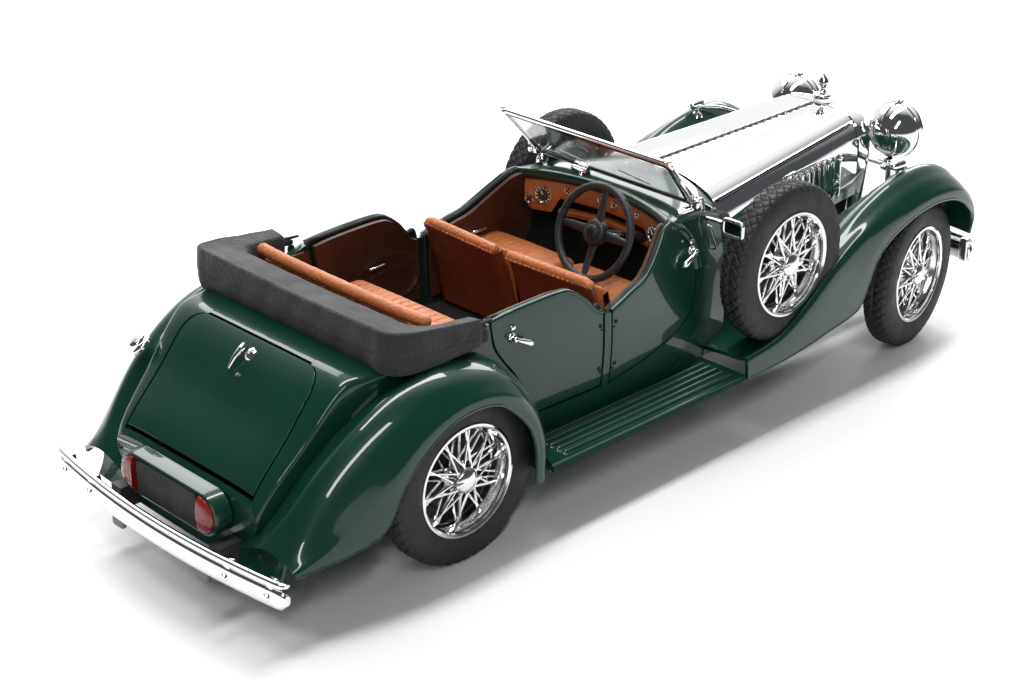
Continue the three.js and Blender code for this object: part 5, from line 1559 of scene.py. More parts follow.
# ---- Fuel filler cap -----------------------------------------------------------------------------
# A domed plated cap with a lever across it, square to the curved corner of the tail on the left.
cap_low, cap_high = [corner * 1000 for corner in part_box("fuel_filler_cap")]
cap_axis = np.array([-0.5, 0.44, 0.75])
cap_middle = np.array((cap_low + cap_high) / 2) - [rear_axle_x, 0, 0]
cap_base = cap_middle - 0.7 * cap_axis
cap_profile = smooth_curve([[2.3, -0.5], [2.35, 0.1], [1.95, 0.5], [1.9, 1.1], [1.3, 1.65], [0.02, 1.85]], 30)
cap_profile = np.concatenate([[[0.02, -0.5]], cap_profile])
cap_lever = tube(
    cap_base + np.array([[0.9, 0.2, 1.0], [0, 0, 1.9], [-1.4, -0.9, 1.2]]), [0.35, 0.4, 0.28], 10,
)
filler = make_piece(
    "filler_cap", [lathe(cap_profile, cap_base, cap_axis, 40), cap_lever], "car", bright_plate,
)
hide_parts("fuel_filler_cap")

# ---- Windscreen ----------------------------------------------------------------------------------
# A plated frame of round bar with a clear pane, raked back between two stanchions and clamped by
# wing nuts. The wiper's motor sits on the bottom bar. The frame swings forward about the nuts, from
# 41 degrees behind upright to 47 degrees past it, so it does not lie flat.
fold_at = np.array(joint_place["windscreen_fold"]) * 1000 - [rear_axle_x, 0, 0]
screen_low, screen_high = [corner * 1000 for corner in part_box("windscreen_frame")]
rake = np.arctan2(fold_at[0] - (screen_low.x - rear_axle_x), screen_high.z - fold_at[2])
screen_arm = (screen_high.z - fold_at[2]) / np.cos(rake) - 0.4
screen_top_half = screen_high.y


def on_screen(y, up, out=0.0):
    """A point of the raked screen: y across, up along the glass, out towards the nose."""
    y, up = np.broadcast_arrays(np.asarray(y, float), np.asarray(up, float))
    x = fold_at[0] - up * np.sin(rake) + out * np.cos(rake)
    return np.stack([x, y, fold_at[2] + up * np.cos(rake) + out * np.sin(rake)], -1)


corner = np.linspace(0, np.pi / 2, 9)
frame_top, frame_low = screen_arm - 0.55, -0.45
half_at = lambda up: 21.2 + (screen_top_half - 21.2) * up / screen_arm - 0.55
frame_right = [
    [half_at(frame_top) - 1.2 + 1.2 * np.sin(a), frame_top - 1.2 + 1.2 * np.cos(a)] for a in corner
]
frame_right += [[half_at(u), u] for u in np.linspace(frame_top - 2, frame_low + 1.2, 12)]
frame_right += [
    [half_at(frame_low) - 0.7 + 0.7 * np.cos(a), frame_low + 0.7 - 0.7 * np.sin(a)] for a in corner
]
frame_right = np.array(frame_right)
across_low = np.stack(
    [np.linspace(frame_right[-1, 0], -frame_right[-1, 0], 30)[1:-1], np.full(28, frame_low)], -1,
)
across_top = np.stack(
    [np.linspace(-frame_right[0, 0], frame_right[0, 0], 30)[1:-1], np.full(28, frame_top)], -1,
)
frame_loop = np.concatenate([frame_right, across_low, frame_right[::-1] * [-1, 1], across_top])
frame_path = on_screen(frame_loop[:, 0], frame_loop[:, 1])
screen_normal = (np.cos(rake), 0.0, np.sin(rake))
surround = make_piece(
    "screen_surround", [tube(frame_path, 0.56, 12, closed=True, reference=screen_normal)], "windscreen", bright_plate
)
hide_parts("windscreen_frame")
pane_up = np.linspace(frame_low + 0.2, frame_top - 0.2, 12)[:, None]
pane_share = np.linspace(-1, 1, 20)[None]
pane_grid = on_screen(pane_share * (half_at(pane_up) - 0.2), pane_up + 0 * pane_share, -0.2)
pane = make_piece("screen_pane", [plate(pane_grid, 0.4)], "windscreen", clear_glass)
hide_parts("windscreen_glass")
pane_seal_loop = frame_loop * [0.972, 1] + [0, 0]
pane_seal_loop[:, 1] = frame_low + 0.75 + (frame_loop[:, 1] - frame_low) * (frame_top - frame_low - 1.5) / (frame_top - frame_low)
make_piece(
    "screen_seal",
    [
        tube(
            on_screen(pane_seal_loop[:, 0], pane_seal_loop[:, 1]),
            0.28,
            8,
            closed=True,
            reference=screen_normal,
        )
    ],
    "windscreen",
    black_rubber_and_gap_shade,
)

screen_fittings = []
for side in (-1, 1):
    nut_y = side * (half_at(0) + 1.5)
    nut = [
        [0, -1.2],
        [1.15, -1.2],
        [1.2, -0.5],
        [0.8, -0.3],
        [0.8, 0.3],
        [1.3, 0.5],
        [1.3, 1.0],
        [0.6, 1.4],
        [0.02, 1.4],
    ]
    screen_fittings.append(lathe(nut, (fold_at[0], nut_y, fold_at[2]), (0, side, 0), 28))
    ear_turn = np.array([[np.cos(0.5), 0, -np.sin(0.5)], [0, 1, 0], [np.sin(0.5), 0, np.cos(0.5)]])
    screen_fittings.append(
        rounded_block((fold_at[0], nut_y + side * 1.2, fold_at[2]), (0.8, 0.8, 3.6), ear_turn, power=2.6)
    )
    arm_up = np.linspace(-0.4, 9.0, 16)
    arm_out = side * (half_at(0) + 0.9 + 0.02 * arm_up)
    screen_fittings.append(
        tube(
            on_screen(arm_out, arm_up, 0.1),
            np.interp(arm_up, [0, 6, 9], [0.75, 0.62, 0.3]),
            12,
            reference=(0, 1, 0),
        )
    )
    tip = on_screen(np.array([side * screen_top_half * 0.985]), np.array([screen_arm - 0.2]))[0]
    screen_fittings.append(rounded_block(tip, (1.2, 1.0, 1.3)))
motor_at = on_screen(np.array([8.5]), np.array([-0.3]), -1.1)[0]
screen_fittings.append(rounded_block(motor_at, (1.8, 4.4, 1.6), power=6))
screen_fittings.append(
    lathe(
        [[0, -0.9], [0.5, -0.9], [0.55, 0.6], [0.25, 0.9], [0, 0.9]],
        motor_at + [-0.9, -0.9, -1.0],
        (-0.5, 0, -0.9),
        14,
    )
)
for start, end in ((8.2, 15.2), (-9.5, -2.2)):
    blade = on_screen(np.linspace(start, end, 12), np.linspace(0.4, 2.0, 12), 0.75)
    screen_fittings.append(tube(blade, 0.2, 8))
make_piece("screen_fittings", screen_fittings, "windscreen", bright_plate)


def scuttle_top(x, y):
    """Height of the scuttle's skin above a point in plan."""
    _, _, _, belt, belt_z, crown_z, power = station(np.asarray(x, float))
    reach = np.clip(np.abs(y) / (body_half - belt), 0, 1)
    return belt_z + (crown_z - belt_z) * (1 - reach**power) ** (1 / power)


post_shells, fairing_shells = [], []
for side in (-1, 1):
    post_y = side * 20.7
    foot_x = np.array([64.2, 66.8, 70.6, 73.8])
    foot = np.stack([foot_x, np.full(4, post_y * 0.9), scuttle_top(foot_x, post_y * 0.9) - 0.3], -1)
    peak = np.array([fold_at[0] + 0.3, side * (half_at(0) + 0.35), fold_at[2] - 1.5])
    post_shells.append(
        tube(
            [foot[1] + [0, side * 0.6, 0], (foot[1] + peak) / 2 + [0, side * 0.5, 0.2], peak],
            [0.9, 0.7, 0.6],
            12,
        )
    )
    run = np.linspace(0, 1, 14)[:, None]
    climb = np.linspace(0, 1, 8)[None]
    low_x = 69.2 + 9.0 * run + 0 * climb
    low_y = side * (19.6 - 1.5 * run) + 0 * climb
    low_z = scuttle_top(low_x, low_y) - 0.25
    rise = 3.0 * (1 - run) ** 1.4
    grid = np.stack([low_x, low_y + side * 0.15 * climb, low_z + rise * climb], -1)
    fairing_shells.append(plate(grid, 0.7))
    bead_path = grid[:, -1] + [0, side * 0.1, 0.05]
    post_shells.append(tube(grid[::2, -1] + [0, 0.0, 0.12], 0.2, 8))
make_piece("screen_fairings", fairing_shells, "car", green_enamel)
make_piece("screen_posts", post_shells, "car", bright_plate)
clip_x = np.array([73.6, 73.9, 75.4, 75.6])
clip_z = np.array([41.8, 41.5, 36.9, 36.5])
clip_path = np.stack([clip_x, -body_y(clip_x, clip_z) - np.array([0.1, 0.9, 0.9, 0.1]), clip_z], -1)
make_piece(
    "scuttle_brackets",
    both_sides([tube(clip_path, 0.32, 10)], -1) + both_sides([tube(clip_path, 0.32, 10)], 1),
    "car",
    bright_plate,
)


# ---- Door mirror ---------------------------------------------------------------------------------
# A rectangular glass in a plated rim, on a cranked arm from the foot of the right stanchion.
mirror_low, mirror_high = [corner * 1000 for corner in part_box("door_mirror")]
mirror_x = mirror_low.x - rear_axle_x
mirror_middle = np.array([mirror_x + 0.5, mirror_low.y + 2.6, (mirror_low.z + mirror_high.z) / 2])
turn = np.linspace(0, 2 * np.pi, 48, endpoint=False)
soft = lambda v, power: np.sign(v) * np.abs(v) ** power
rim_path = mirror_middle + np.stack(
    [0 * turn, 2.3 * soft(np.cos(turn), 0.35), 1.5 * soft(np.sin(turn), 0.35)], -1,
)
mirror_arm = smooth_curve(
    [mirror_middle + [0.3, 1.6, 0.4], [70.6, -27.2, 45.0], [71.2, -24.6, 44.6], [71.4, -21.9, 44.3]], 18,
)
mirror_shells = [
    tube(rim_path, 0.42, 10, closed=True, reference=(1, 0, 0)),
    tube(mirror_arm, 0.4, 10),
    rounded_block(mirror_middle + [0.25, 0, 0], (0.5, 4.6, 3.0), power=8),
]
mirror = make_piece("mirror_rim", mirror_shells, "car", bright_plate)
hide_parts("door_mirror")
mirror_glass = finish_material(
    "mirror_glass", (0.1, 0.13, 0.13), (0.2, 0.24, 0.24), (0.03, 0.06), metallic=1.0, grain=(0.01, 300),
)
make_piece(
    "mirror_face",
    [rounded_block(mirror_middle + [-0.1, 0, 0], (0.3, 4.3, 2.7), power=10)],
    "car",
    mirror_glass,
)


# ---- Dashboard -----------------------------------------------------------------------------------
# A bowed panel trimmed in tan leather, deeper at both ends where the two large black dials are. A
# row of small ones runs between them, over an open shelf.
tan_leather = finish_material(
    "tan_leather", (0.36, 0.105, 0.028), (0.44, 0.135, 0.038), (0.42, 0.58), grain=(0.55, 1500), blotch=140
)
dash_half = 19.3
dash_low_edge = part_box("dashboard")[0].z * 1000


def dash_x(y):
    """The panel's rear face, bowed like the scuttle's edge."""
    return 62.4 + 4.3 * (1 - np.clip(np.abs(y) / 20.4, 0, 1) ** 2)


dash_y = np.linspace(-dash_half, dash_half, 120)[None]
fall = np.clip((np.abs(dash_y) - 11.4) / 2.6, 0, 1)
dash_middle_edge = 40.6
corner_rise = 1.3 * np.clip((np.abs(dash_y) - 17.4) / 1.9, 0, 1) ** 2
dash_bottom = dash_middle_edge - (dash_middle_edge - dash_low_edge) * fall * fall * (3 - 2 * fall) + corner_rise
dash_top = scuttle_top(dash_x(dash_y), dash_y) - 1.7
dash_share = np.linspace(0, 1, 14)[:, None]
dash_z = dash_bottom + (dash_top - dash_bottom) * dash_share
dash_bulge = 0.35 * np.sin(np.pi * dash_share) ** 0.5
dash_grid = np.stack([dash_x(dash_y) - dash_bulge, np.broadcast_to(dash_y, dash_z.shape), dash_z], -1)
dash_panel = make_piece("dash_panel", [plate(dash_grid, -0.9)], "car", tan_leather, bevel=0.12)
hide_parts("dashboard")
shelf_y = np.linspace(-12.6, 12.6, 50)[None]
shelf_share = np.linspace(0, 1, 12)[:, None]
shelf_grid = np.stack(
    [
        dash_x(shelf_y) + 0.6 + 1.6 * shelf_share,
        np.broadcast_to(shelf_y, (12, 50)),
        37.0 + 0.25 * np.cos(shelf_y / 4) + 0.5 * shelf_share - 0.8 * shelf_share**6,
    ],
    -1,
)
make_piece("dash_shelf", [plate(shelf_grid, 1.2)], "car", tan_leather, bevel=0.12)

dial_black = finish_material(
    "dial_black", (0.006, 0.006, 0.006), (0.012, 0.012, 0.012), (0.15, 0.25), grain=(0.05, 900), coat=0.6,
)
dial_white = finish_material(
    "dial_white", (0.75, 0.75, 0.72), (0.85, 0.85, 0.82), (0.3, 0.4), grain=(0.05, 900),
)
dials, bezels, marks = [], [], []
dial_list = [(15.2, 40.9, 1.8), (-15.2, 40.9, 1.8), (18.2, 39.6, 0.95), (-18.2, 39.6, 0.95)]
dial_list += [(y, 42.9, 0.72) for y in (9.6, 6.8, 1.2, -2.6, -6.6, -9.6)]
for y, z, radius in dial_list:
    lean = 2 * 4.3 * y / 20.4**2
    face = np.array([-1.0, -lean, 0.0]) / np.hypot(1, lean)
    along = np.array([face[1], -face[0], 0.0])
    at = np.array([float(dash_x(np.array(y))) - 0.42, y, z])
    dials.append(lathe([[0, -0.3], [radius, -0.3], [radius, 0.12], [0, 0.15]], at, face, 28))
    bezel_ring = at + 0.12 * face + radius * (
        np.cos(turn)[:, None] * along + np.sin(turn)[:, None] * np.array([0, 0, 1.0])
    )
    bezels.append(tube(bezel_ring, 0.16 if radius < 1 else 0.2, 8, closed=True, reference=face))
    ticks = 12 if radius > 1 else 4
    for k in range(ticks):
        a = 2 * np.pi * k / ticks
        reach = radius * (0.8 if radius > 1 else 0.6)
        spot = at + 0.16 * face + reach * (np.cos(a) * along + np.sin(a) * np.array([0, 0, 1.0]))
        marks.append(rounded_block(spot, (0.26 if radius > 1 else 0.16,) * 3, count=6))
    if radius > 1:
        hand = np.array(
            [at + 0.2 * face, at + 0.2 * face + radius * 0.6 * (0.5 * along + np.array([0, 0, 0.85]))]
        )
        marks.append(tube(hand, 0.09, 6))
make_piece("dash_dials", dials, "car", dial_black)
make_piece("dash_bezels", bezels, "car", bright_plate)
make_piece("dash_marks", marks, "car", dial_white)


# ---- Steering wheel ------------------------------------------------------------------------------
# A thick-rimmed black wheel with four flat spokes and a large boss, on a column that slopes down
# towards the bulkhead. The wheel turns with the front wheels.
hub_at = np.array(joint_place["steering_wheel_turn"]) * 1000 - [rear_axle_x, 0, 0]
column_axis = -np.array(
    next(j["axis"] for j in frame["record"]["behaviour"]["joints"] if j["name"] == "steering_wheel_turn")
)
wheel_low, wheel_high = [corner * 1000 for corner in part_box("steering_wheel")]
wheel_r = (wheel_high.y - wheel_low.y) / 2
wheel_up = np.cross(column_axis, [0, 1, 0])
bakelite = finish_material(
    "bakelite", (0.012, 0.012, 0.014), (0.022, 0.022, 0.025), (0.38, 0.55), grain=(0.25, 1300),
)


def on_wheel(reach, turn, out=0.0):
    """A point in the wheel's plane; out is towards the driver."""
    turn = np.asarray(turn, float)[..., None]
    return hub_at + reach * (np.cos(turn) * np.array([0, 1, 0]) + np.sin(turn) * wheel_up) - out * column_axis


rim_turn = np.linspace(0, 2 * np.pi, 96, endpoint=False)
finger = 0.78 + 0.04 * np.cos(rim_turn * 32)
wheel_parts = [tube(on_wheel(wheel_r - 0.78, rim_turn), finger, 14, closed=True, reference=column_axis)]
for quarter in range(4):
    a = quarter * np.pi / 2
    reach = np.linspace(1.6, wheel_r - 0.9, 10)
    spoke_across = np.array([-np.sin(a) * np.array([0, 1, 0]) + np.cos(a) * wheel_up])[0]
    spoke_width = np.interp(reach, [1.6, wheel_r], [1.05, 0.6])
    centre_line = hub_at + reach[:, None] * (np.cos(a) * np.array([0, 1, 0]) + np.sin(a) * wheel_up) + (
        0.9 * (1 - (reach[:, None] - 1.6) / wheel_r) * column_axis
    )
    around_spoke = np.linspace(0, 2 * np.pi, 12, endpoint=False)[None, :, None]
    points = (
        centre_line[:, None]
        + spoke_width[:, None, None] * np.cos(around_spoke) * spoke_across
        + 0.42 * np.sin(around_spoke) * column_axis
    )
    wheel_parts.append(
        (
            points.reshape(-1, 3),
            [grid_faces(10, 12, wrap_columns=True), np.stack([np.arange(12)[::-1], 108 + np.arange(12)])],
        )
    )
boss_line = [
    [0.02, -2.2],
    [1.9, -2.2],
    [2.5, -1.2],
    [2.6, -0.2],
    [2.3, 0.45],
    [1.5, 0.75],
    [1.4, 1.0],
    [0.9, 1.25],
    [0.02, 1.3],
]
wheel_parts.append(lathe(smooth_curve(boss_line, 50), hub_at, -column_axis, 36))
wheel_piece = make_piece("steering_rim", wheel_parts, "steering_wheel", bakelite)
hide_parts("steering_wheel")
make_piece(
    "horn_button",
    [lathe([[0.02, 1.2], [0.7, 1.2], [0.65, 1.45], [0.02, 1.55]], hub_at, -column_axis, 24)],
    "steering_wheel",
    dial_black,
)
column_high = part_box("steering_column")[1].x * 1000 - rear_axle_x
column_length = (column_high - hub_at[0]) / column_axis[0]
column_piece = make_piece(
    "column_tube",
    [
        lathe(
            [
                [0, 2.5],
                [0.9, 2.5],
                [0.9, column_length - 2],
                [1.4, column_length - 1.8],
                [1.4, column_length - 0.8],
                [0, column_length - 0.8],
            ],
            hub_at,
            column_axis,
            24,
        )
    ],
    "car",
    bakelite,
)
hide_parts("steering_column")
levers = []
for side in (-1, 1):
    lever_start = hub_at + 3.6 * column_axis
    levers.append(
        tube(
            [lever_start, lever_start + [0.2, side * 2.8, 0.5], lever_start + [0.1, side * 3.6, 0.9]],
            [0.22, 0.2, 0.32],
            8,
        )
    )
make_piece("column_levers", levers, "car", bright_plate)

# ---- Seats ---------------------------------------------------------------------------------------
# Tan leather over padding: two front seats with a stitched roll along the top of a plain red-brown
# back, and a bench behind with a long roll. Cushions and squabs are pleated fore and aft.
def pleats(y, pitch, depth):
    """Rounded ribs across y with narrow sewn valleys between them."""
    phase = (y / pitch) % 1
    return -depth * np.exp(-((np.minimum(phase, 1 - phase) * pitch / 0.16) ** 2))


def cushion(outline_x, outline_z, y_range, pitch, puff, depth=0.22, edge=1.2, count=(90, 110)):
    """A closed side outline drawn out across the car, its ends rounded, its top pleated."""
    outline = np.stack([outline_x, outline_z], -1)
    closed = np.concatenate([outline, outline[:1]])
    curve = smooth_curve(closed, count[0] + 1)[:-1]
    middle = curve.mean(axis=0)
    away = np.roll(curve, -1, axis=0) - np.roll(curve, 1, axis=0)
    normal = np.stack([away[:, 1], -away[:, 0]], -1)
    normal /= np.linalg.norm(normal, axis=1, keepdims=True) + 1e-9
    if np.sum(normal * (curve - middle)) < 0:
        normal = -normal
    low, high = y_range
    share = np.linspace(0, 1, count[1])
    y = low + (high - low) * share
    from_end = np.minimum(y - low, high - y)
    shrink = edge * (1 - np.sqrt(np.clip(1 - (1 - np.clip(from_end / edge, 0, 1)) ** 2, 0, 1)))
    swell = puff * np.sin(np.pi * share) ** 0.4
    upward = np.clip(normal[:, 1] * 1.3 + 0.2, 0, 1)
    ribs = pleats(y - (low + high) / 2 + pitch / 2, pitch, depth) * np.clip((from_end - 1.0) / 0.5, 0, 1)
    offset = (swell - shrink)[:, None] + ribs[:, None] * upward[None]
    points = np.stack(
        [
            curve[None, :, 0] + normal[None, :, 0] * offset,
            np.broadcast_to(y[:, None], offset.shape),
            curve[None, :, 1] + normal[None, :, 1] * offset,
        ],
        -1,
    )
    n = count[0]
    faces = [
        grid_faces(count[1], n, wrap_columns=True),
        np.arange(n)[None, ::-1],
        (count[1] - 1) * n + np.arange(n)[None],
    ]
    return points.reshape(-1, 3), faces


seat_leather = finish_material(
    "seat_leather", (0.40, 0.115, 0.03), (0.48, 0.15, 0.042), (0.4, 0.58), grain=(0.6, 1600), blotch=130
)
seat_back_brown = finish_material(
    "seat_back_brown",
    (0.15, 0.030, 0.010),
    (0.19, 0.042, 0.014),
    (0.38, 0.52),
    grain=(0.45, 1500),
    blotch=110,
)
seat_low, seat_high = [corner * 1000 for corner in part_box("front_seat_right")]
seat_out, seat_in = -seat_low.y, -seat_high.y
seat_top = seat_high.z
floor_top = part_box("cockpit_floor")[1].z * 1000

for name, side in (("right", -1), ("left", 1)):
    span = (-seat_out + 0.35, -seat_in + 0.3)
    base = cushion(
        [44.4, 57.6, 59.4, 58.2, 50, 45.2],
        [floor_top + 1.4, floor_top + 1.4, 27.6, 32.3, 32.2, 31.2],
        span,
        1.9,
        0.25,
    )
    squab = cushion(
        [43.6, 46.8, 45.6, 42.2, 41.2, 41.4],
        [25.5, 28.4, 32.5, 38.0, 37.6, 32],
        span,
        1.9,
        0.2,
        count=(80, 110),
    )
    seat = make_piece(
        f"seat_cushions_{name}", both_sides([base, squab], side), "car", seat_leather, sharp=60,
    )
    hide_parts(f"front_seat_{name}")
    back_share = np.linspace(0, 1, 30)[:, None]
    back_y = np.linspace(span[0], span[1], 60)[None]
    back_x = 42.4 - (42.4 - 37.2) * back_share + 0.5 * np.sin(np.pi * back_share) + 0.0 * back_y
    back_z = floor_top + 1.0 + (seat_top - 1.4 - floor_top - 1.0) * back_share - 1.3 * np.clip((-back_y - 21.5) / 4, 0, 1) ** 2 * back_share
    back_round = 0.9 * (
        np.clip((np.abs(back_y - (span[0] + span[1]) / 2) - (span[1] - span[0]) / 2 + 2.2) / 2.2, 0, 1) ** 2
    )
    back_grid = np.stack([back_x + back_round, np.broadcast_to(back_y, back_z.shape), back_z], -1)
    make_piece(
        f"seat_back_{name}",
        both_sides([plate(back_grid, -1.4)], side),
        "car",
        seat_back_brown,
        bevel=0.2,
    )
    roll_y = np.linspace(span[0] + 0.5, span[1] - 0.5, 150)
    droop = 1.7 * np.clip((-roll_y - 20.5) / 4.5, 0, 1) ** 1.6
    roll_path = np.stack([37.9 + 0.05 * np.abs(roll_y) - 0.3, roll_y, seat_top - 1.25 - droop], -1)
    pinch = 1.12 - 0.1 * np.exp(-((((roll_y * 0.62) % 1) - 0.5) / 0.1) ** 2)
    pinch *= np.sqrt(
        np.clip(
            1 - (1 - np.clip(np.minimum(roll_y - roll_y[0], roll_y[-1] - roll_y) / 1.0, 0.05, 1)) ** 2,
            0.02,
            1,
        )
    )
    roll = tube(roll_path, pinch, 18)
    seam_path = roll_path + np.array([-1.0, 0, -0.35])
    welt = tube(seam_path[4:-4], 0.24 + 0.08 * np.sign(np.sin(roll_y[4:-4] * 5.2)), 8)
    seat_roll = make_piece(
        f"seat_roll_{name}", both_sides([roll, welt], side), "car", seat_leather, sharp=70,
    )

rear_out = 23.2
bench = cushion(
    [4.5, 18.8, 20.2, 18.8, 10, 6.0],
    [floor_top + 1.4, floor_top + 1.4, 28.0, 33.6, 33.5, 33.0],
    (-20.6, 20.6),
    2.1,
    0.3,
    0.26,
    count=(90, 240),
)
bench_back = cushion(
    [4.6, 7.4, 2.2, -0.9, -2.2, 0.0],
    [29.5, 32.2, 42.4, 43.2, 42.4, 34],
    (-rear_out, rear_out),
    2.1,
    0.2,
    0.26,
    count=(90, 240),
)
rear_bench = make_piece("rear_bench", [bench, bench_back], "car", seat_leather, sharp=60)
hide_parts("rear_seat")
long_y = np.linspace(-23.6, 23.6, 260)
long_bow = 1.6 * (np.abs(long_y) / 23.6) ** 3
long_path = np.stack([-3.3 + long_bow * 0.7, long_y, 45.5 - 0.25 * (long_y / 23.6) ** 2], -1)
ends = np.clip(np.minimum(long_y + 23.6, 23.6 - long_y) / 1.2, 0.04, 1)
long_radius = (1.2 + 0.04 * np.sin(long_y * 1.7) * np.sin(long_y * 0.61)) * np.sqrt(1 - (1 - ends) ** 2)
long_roll = make_piece(
    "rear_seat_roll", [tube(long_path, long_radius, 20)], "car", seat_leather, sharp=70,
)


# ---- Folded hood ---------------------------------------------------------------------------------
# Black double-duck fabric folded into a bundle behind the rear seat, with an arm forward on each
# side. It sits on the body's belt, creased along its upper edge where the layers turn.
hood_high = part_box("folded_hood")[1] * 1000
hood_half = hood_high.y
# the bundle's outer and inner edges in plan, from the right arm's tip to the middle, with the height
# of its foot, of its outer crease and of its inner edge
hood_plan = np.array(
    [
        [5.0, 29.1, 5.0, 25.3, 40.4, 45.6, 44.9],
        [1.0, 28.9, 1.6, 25.1, 40.0, 46.0, 45.1],
        [-4.0, 28.8, -1.4, 24.9, 39.7, 46.7, 45.3],
        [-9.4, 28.6, -3.6, 24.4, 39.6, 47.5, 45.6],
        [-13.2, 27.6, -5.0, 23.4, 39.7, 48.0, 45.8],
        [-14.9, 25.2, -5.9, 21.8, 39.9, 48.2, 46.0],
        [-14.9, 22.4, -6.2, 19.4, 40.2, 48.2, 46.1],
        [-15.0, 16.0, -6.3, 14.0, 40.3, 48.1, 46.1],
        [-15.0, 8.0, -6.4, 7.0, 40.4, 48.0, 46.1],
        [-15.0, 0.0, -6.4, 0.0, 40.4, 47.9, 46.1],
    ]
)
hood_plan = hood_plan * [1, -hood_half / 29.3, 1, -hood_half / 29.3, 1, 1, 1]
other_half = hood_plan[-2::-1] * [1, -1, 1, -1, 1, 1, 1]
hood_stations = smooth_curve(np.concatenate([hood_plan, other_half]), 340)
hood_out_x, hood_out_y, hood_in_x, hood_in_y, foot_z_hood, top_z_hood, inner_z_hood = hood_stations.T[:, :, None]
# section of the bundle: share from the inner edge to the outer one, and share of its height
hood_section = smooth_curve(
    [
        [0.03, 0.15], [0.0, 0.5], [0.02, 0.8], [0.06, 0.93], [0.14, 1.0], [0.35, 1.0], [0.6, 1.0], [0.8, 1.0], [0.92, 1.01], [0.97, 0.99],
        [1.0, 0.94], [1.01, 0.8], [1.03, 0.55], [1.03, 0.35], [0.99, 0.12], [0.9, 0.02], [0.5, 0.0], [0.1, 0.02], [0.03, 0.15],
    ],
    119,
)[:-1]
hood_u, hood_v = hood_section[None, :, 0], hood_section[None, :, 1]
hood_step = np.hypot(np.diff(hood_out_x[:, 0]), np.diff(hood_out_y[:, 0]))
along_hood = np.concatenate([[0], np.cumsum(hood_step)])[:, None]
sag = 0.16 * np.sin(along_hood * 0.21 + 1.3) * np.sin(hood_u * 3.1) + 0.07 * np.sin(
    along_hood * 0.9 + hood_v * 4.0
)
fold_line = 0.16 * np.exp(-(((hood_v - 0.42 - 0.05 * np.sin(along_hood * 0.13)) / 0.04) ** 2)) * (hood_u > 0.9)
tip = np.clip(np.minimum(along_hood, along_hood[-1] - along_hood) / 0.7, 0, 1)
tip_shrink = 0.86 + 0.14 * np.sqrt(1 - (1 - tip) ** 2)
u_kept = 0.5 + (hood_u - 0.5) * tip_shrink
v_kept = 0.5 + (hood_v - 0.5) * tip_shrink
roof_z = inner_z_hood + (top_z_hood - inner_z_hood) * np.clip(u_kept, 0, 1) ** 0.8
hood_width = np.hypot(hood_out_x - hood_in_x, hood_out_y - hood_in_y)
push = 1 + (sag - fold_line) / hood_width * (hood_u > 0.5)
hood_points = np.stack(
    [
        hood_in_x + (hood_out_x - hood_in_x) * u_kept * push,
        hood_in_y + (hood_out_y - hood_in_y) * u_kept * push,
        foot_z_hood + (roof_z - foot_z_hood) * v_kept + 0.5 * sag * (hood_v > 0.7),
    ],
    -1,
)
hood_count = hood_section.shape[0]
hood_last = (len(hood_stations) - 1) * hood_count
hood_shell = (
    hood_points.reshape(-1, 3),
    [
        grid_faces(len(hood_stations), hood_count, wrap_columns=True),
        np.arange(hood_count)[None, ::-1],
        hood_last + np.arange(hood_count)[None],
    ],
)
duck_cloth = finish_material(
    "duck_cloth",
    (0.005, 0.005, 0.006),
    (0.016, 0.0155, 0.016),
    (0.62, 0.85),
    grain=(0.7, 2600),
    blotch=75,
    Sheen_Weight=0.15,
)
hood = make_piece("hood_bundle", [hood_shell], "car", duck_cloth, sharp=80)
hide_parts("folded_hood")
hood_pins = []
for side in (-1, 1):
    hood_pins.append(
        tube(
            [[4.4, side * 27.0, 43.9], [6.4, side * 27.0, 43.6], [9.2, side * 26.8, 43.5]],
            [0.5, 0.34, 0.26],
            10,
        )
    )
    hood_pins.append(rounded_block((6.6, side * 26.9, 42.7), (2.6, 0.7, 1.0)))
    hood_pins.append(rounded_block((7.4, side * 26.9, 40.9), (1.6, 0.6, 2.4)))
make_piece("hood_pins", hood_pins, "car", black_parts_and_painted_shade)


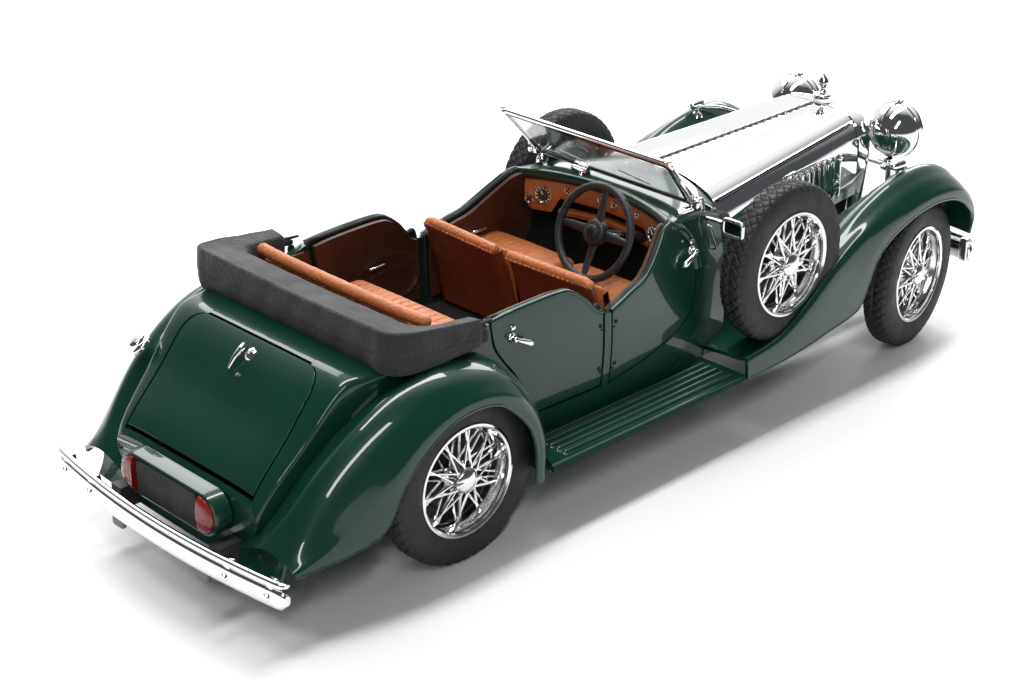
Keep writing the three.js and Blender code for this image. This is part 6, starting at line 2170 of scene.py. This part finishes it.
# ---- Floor, chassis and engine -------------------------------------------------------------------
# The floor is carpeted. Under it the ladder frame, axles and steering are dark castings, and the
# engine is a painted block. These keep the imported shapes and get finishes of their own.
carpet_brown = finish_material(
    "carpet_brown", (0.012, 0.009, 0.008), (0.03, 0.022, 0.018), (0.85, 0.98), grain=(1.0, 2600), blotch=200,
)
chassis_black = finish_material(
    "chassis_black", (0.012, 0.012, 0.013), (0.028, 0.028, 0.03), (0.4, 0.6), grain=(0.15, 1200),
)
engine_grey = finish_material(
    "engine_grey", (0.05, 0.065, 0.06), (0.1, 0.12, 0.11), (0.35, 0.55), metallic=0.5, grain=(0.3, 900),
)
kept_nodes = {
    "cockpit_floor": carpet_brown,
    "chassis_frame": chassis_black,
    "rear_axle": chassis_black,
    "front_axle_beam": chassis_black,
    "track_rod": grey_iron,
    "steering_knuckle_left": chassis_black,
    "steering_knuckle_right": chassis_black,
    "engine_block": engine_grey,
}
for node_name, node_material in kept_nodes.items():
    node = bpy.data.objects[node_name]
    node.data.materials.clear()
    node.data.materials.append(node_material)

tunnel_y = np.linspace(-2.6, 2.6, 24)[None]
tunnel_x = np.linspace(22, 76, 30)[:, None]
tunnel = np.stack(
    [
        tunnel_x + 0 * tunnel_y,
        tunnel_y + 0 * tunnel_x,
        floor_top + 0.1 + 2.2 * np.sqrt(np.clip(1 - (tunnel_y / 2.6) ** 2, 0, 1)) + 0 * tunnel_x,
    ],
    -1,
)
make_piece("gearbox_tunnel", [plate(tunnel, -0.4)], "car", carpet_brown)
gear_lever = smooth_curve([[58.5, 0, floor_top + 1.5], [57.4, 0, 26.5], [56.9, 0.2, 30.5]], 16)
lever_knob = lathe(
    [[0.02, -0.9], [0.8, -0.5], [0.95, 0.1], [0.6, 0.7], [0.02, 0.9]], (56.9, 0.2, 31), (0, 0, 1), 20,
)
make_piece(
    "gear_lever",
    [tube(gear_lever, 0.35, 10, reference=(0, 1, 0)), lever_knob],
    "car",
    chassis_black,
)
bulkhead_y = np.linspace(-20, 20, 40)[None]
bulkhead_share = np.linspace(0, 1, 20)[:, None]
bulkhead_top = scuttle_top(74.5 + 0 * bulkhead_y, bulkhead_y) - 2.2
bulkhead_z = floor_top + 0.2 + (np.minimum(bulkhead_top, 42) - floor_top) * bulkhead_share
bulkhead = np.stack([75.4 + 0 * bulkhead_z, bulkhead_y * (0.8 + 0 * bulkhead_z), bulkhead_z], -1)
make_piece("bulkhead", [plate(bulkhead, 0.7)], "car", carpet_brown)
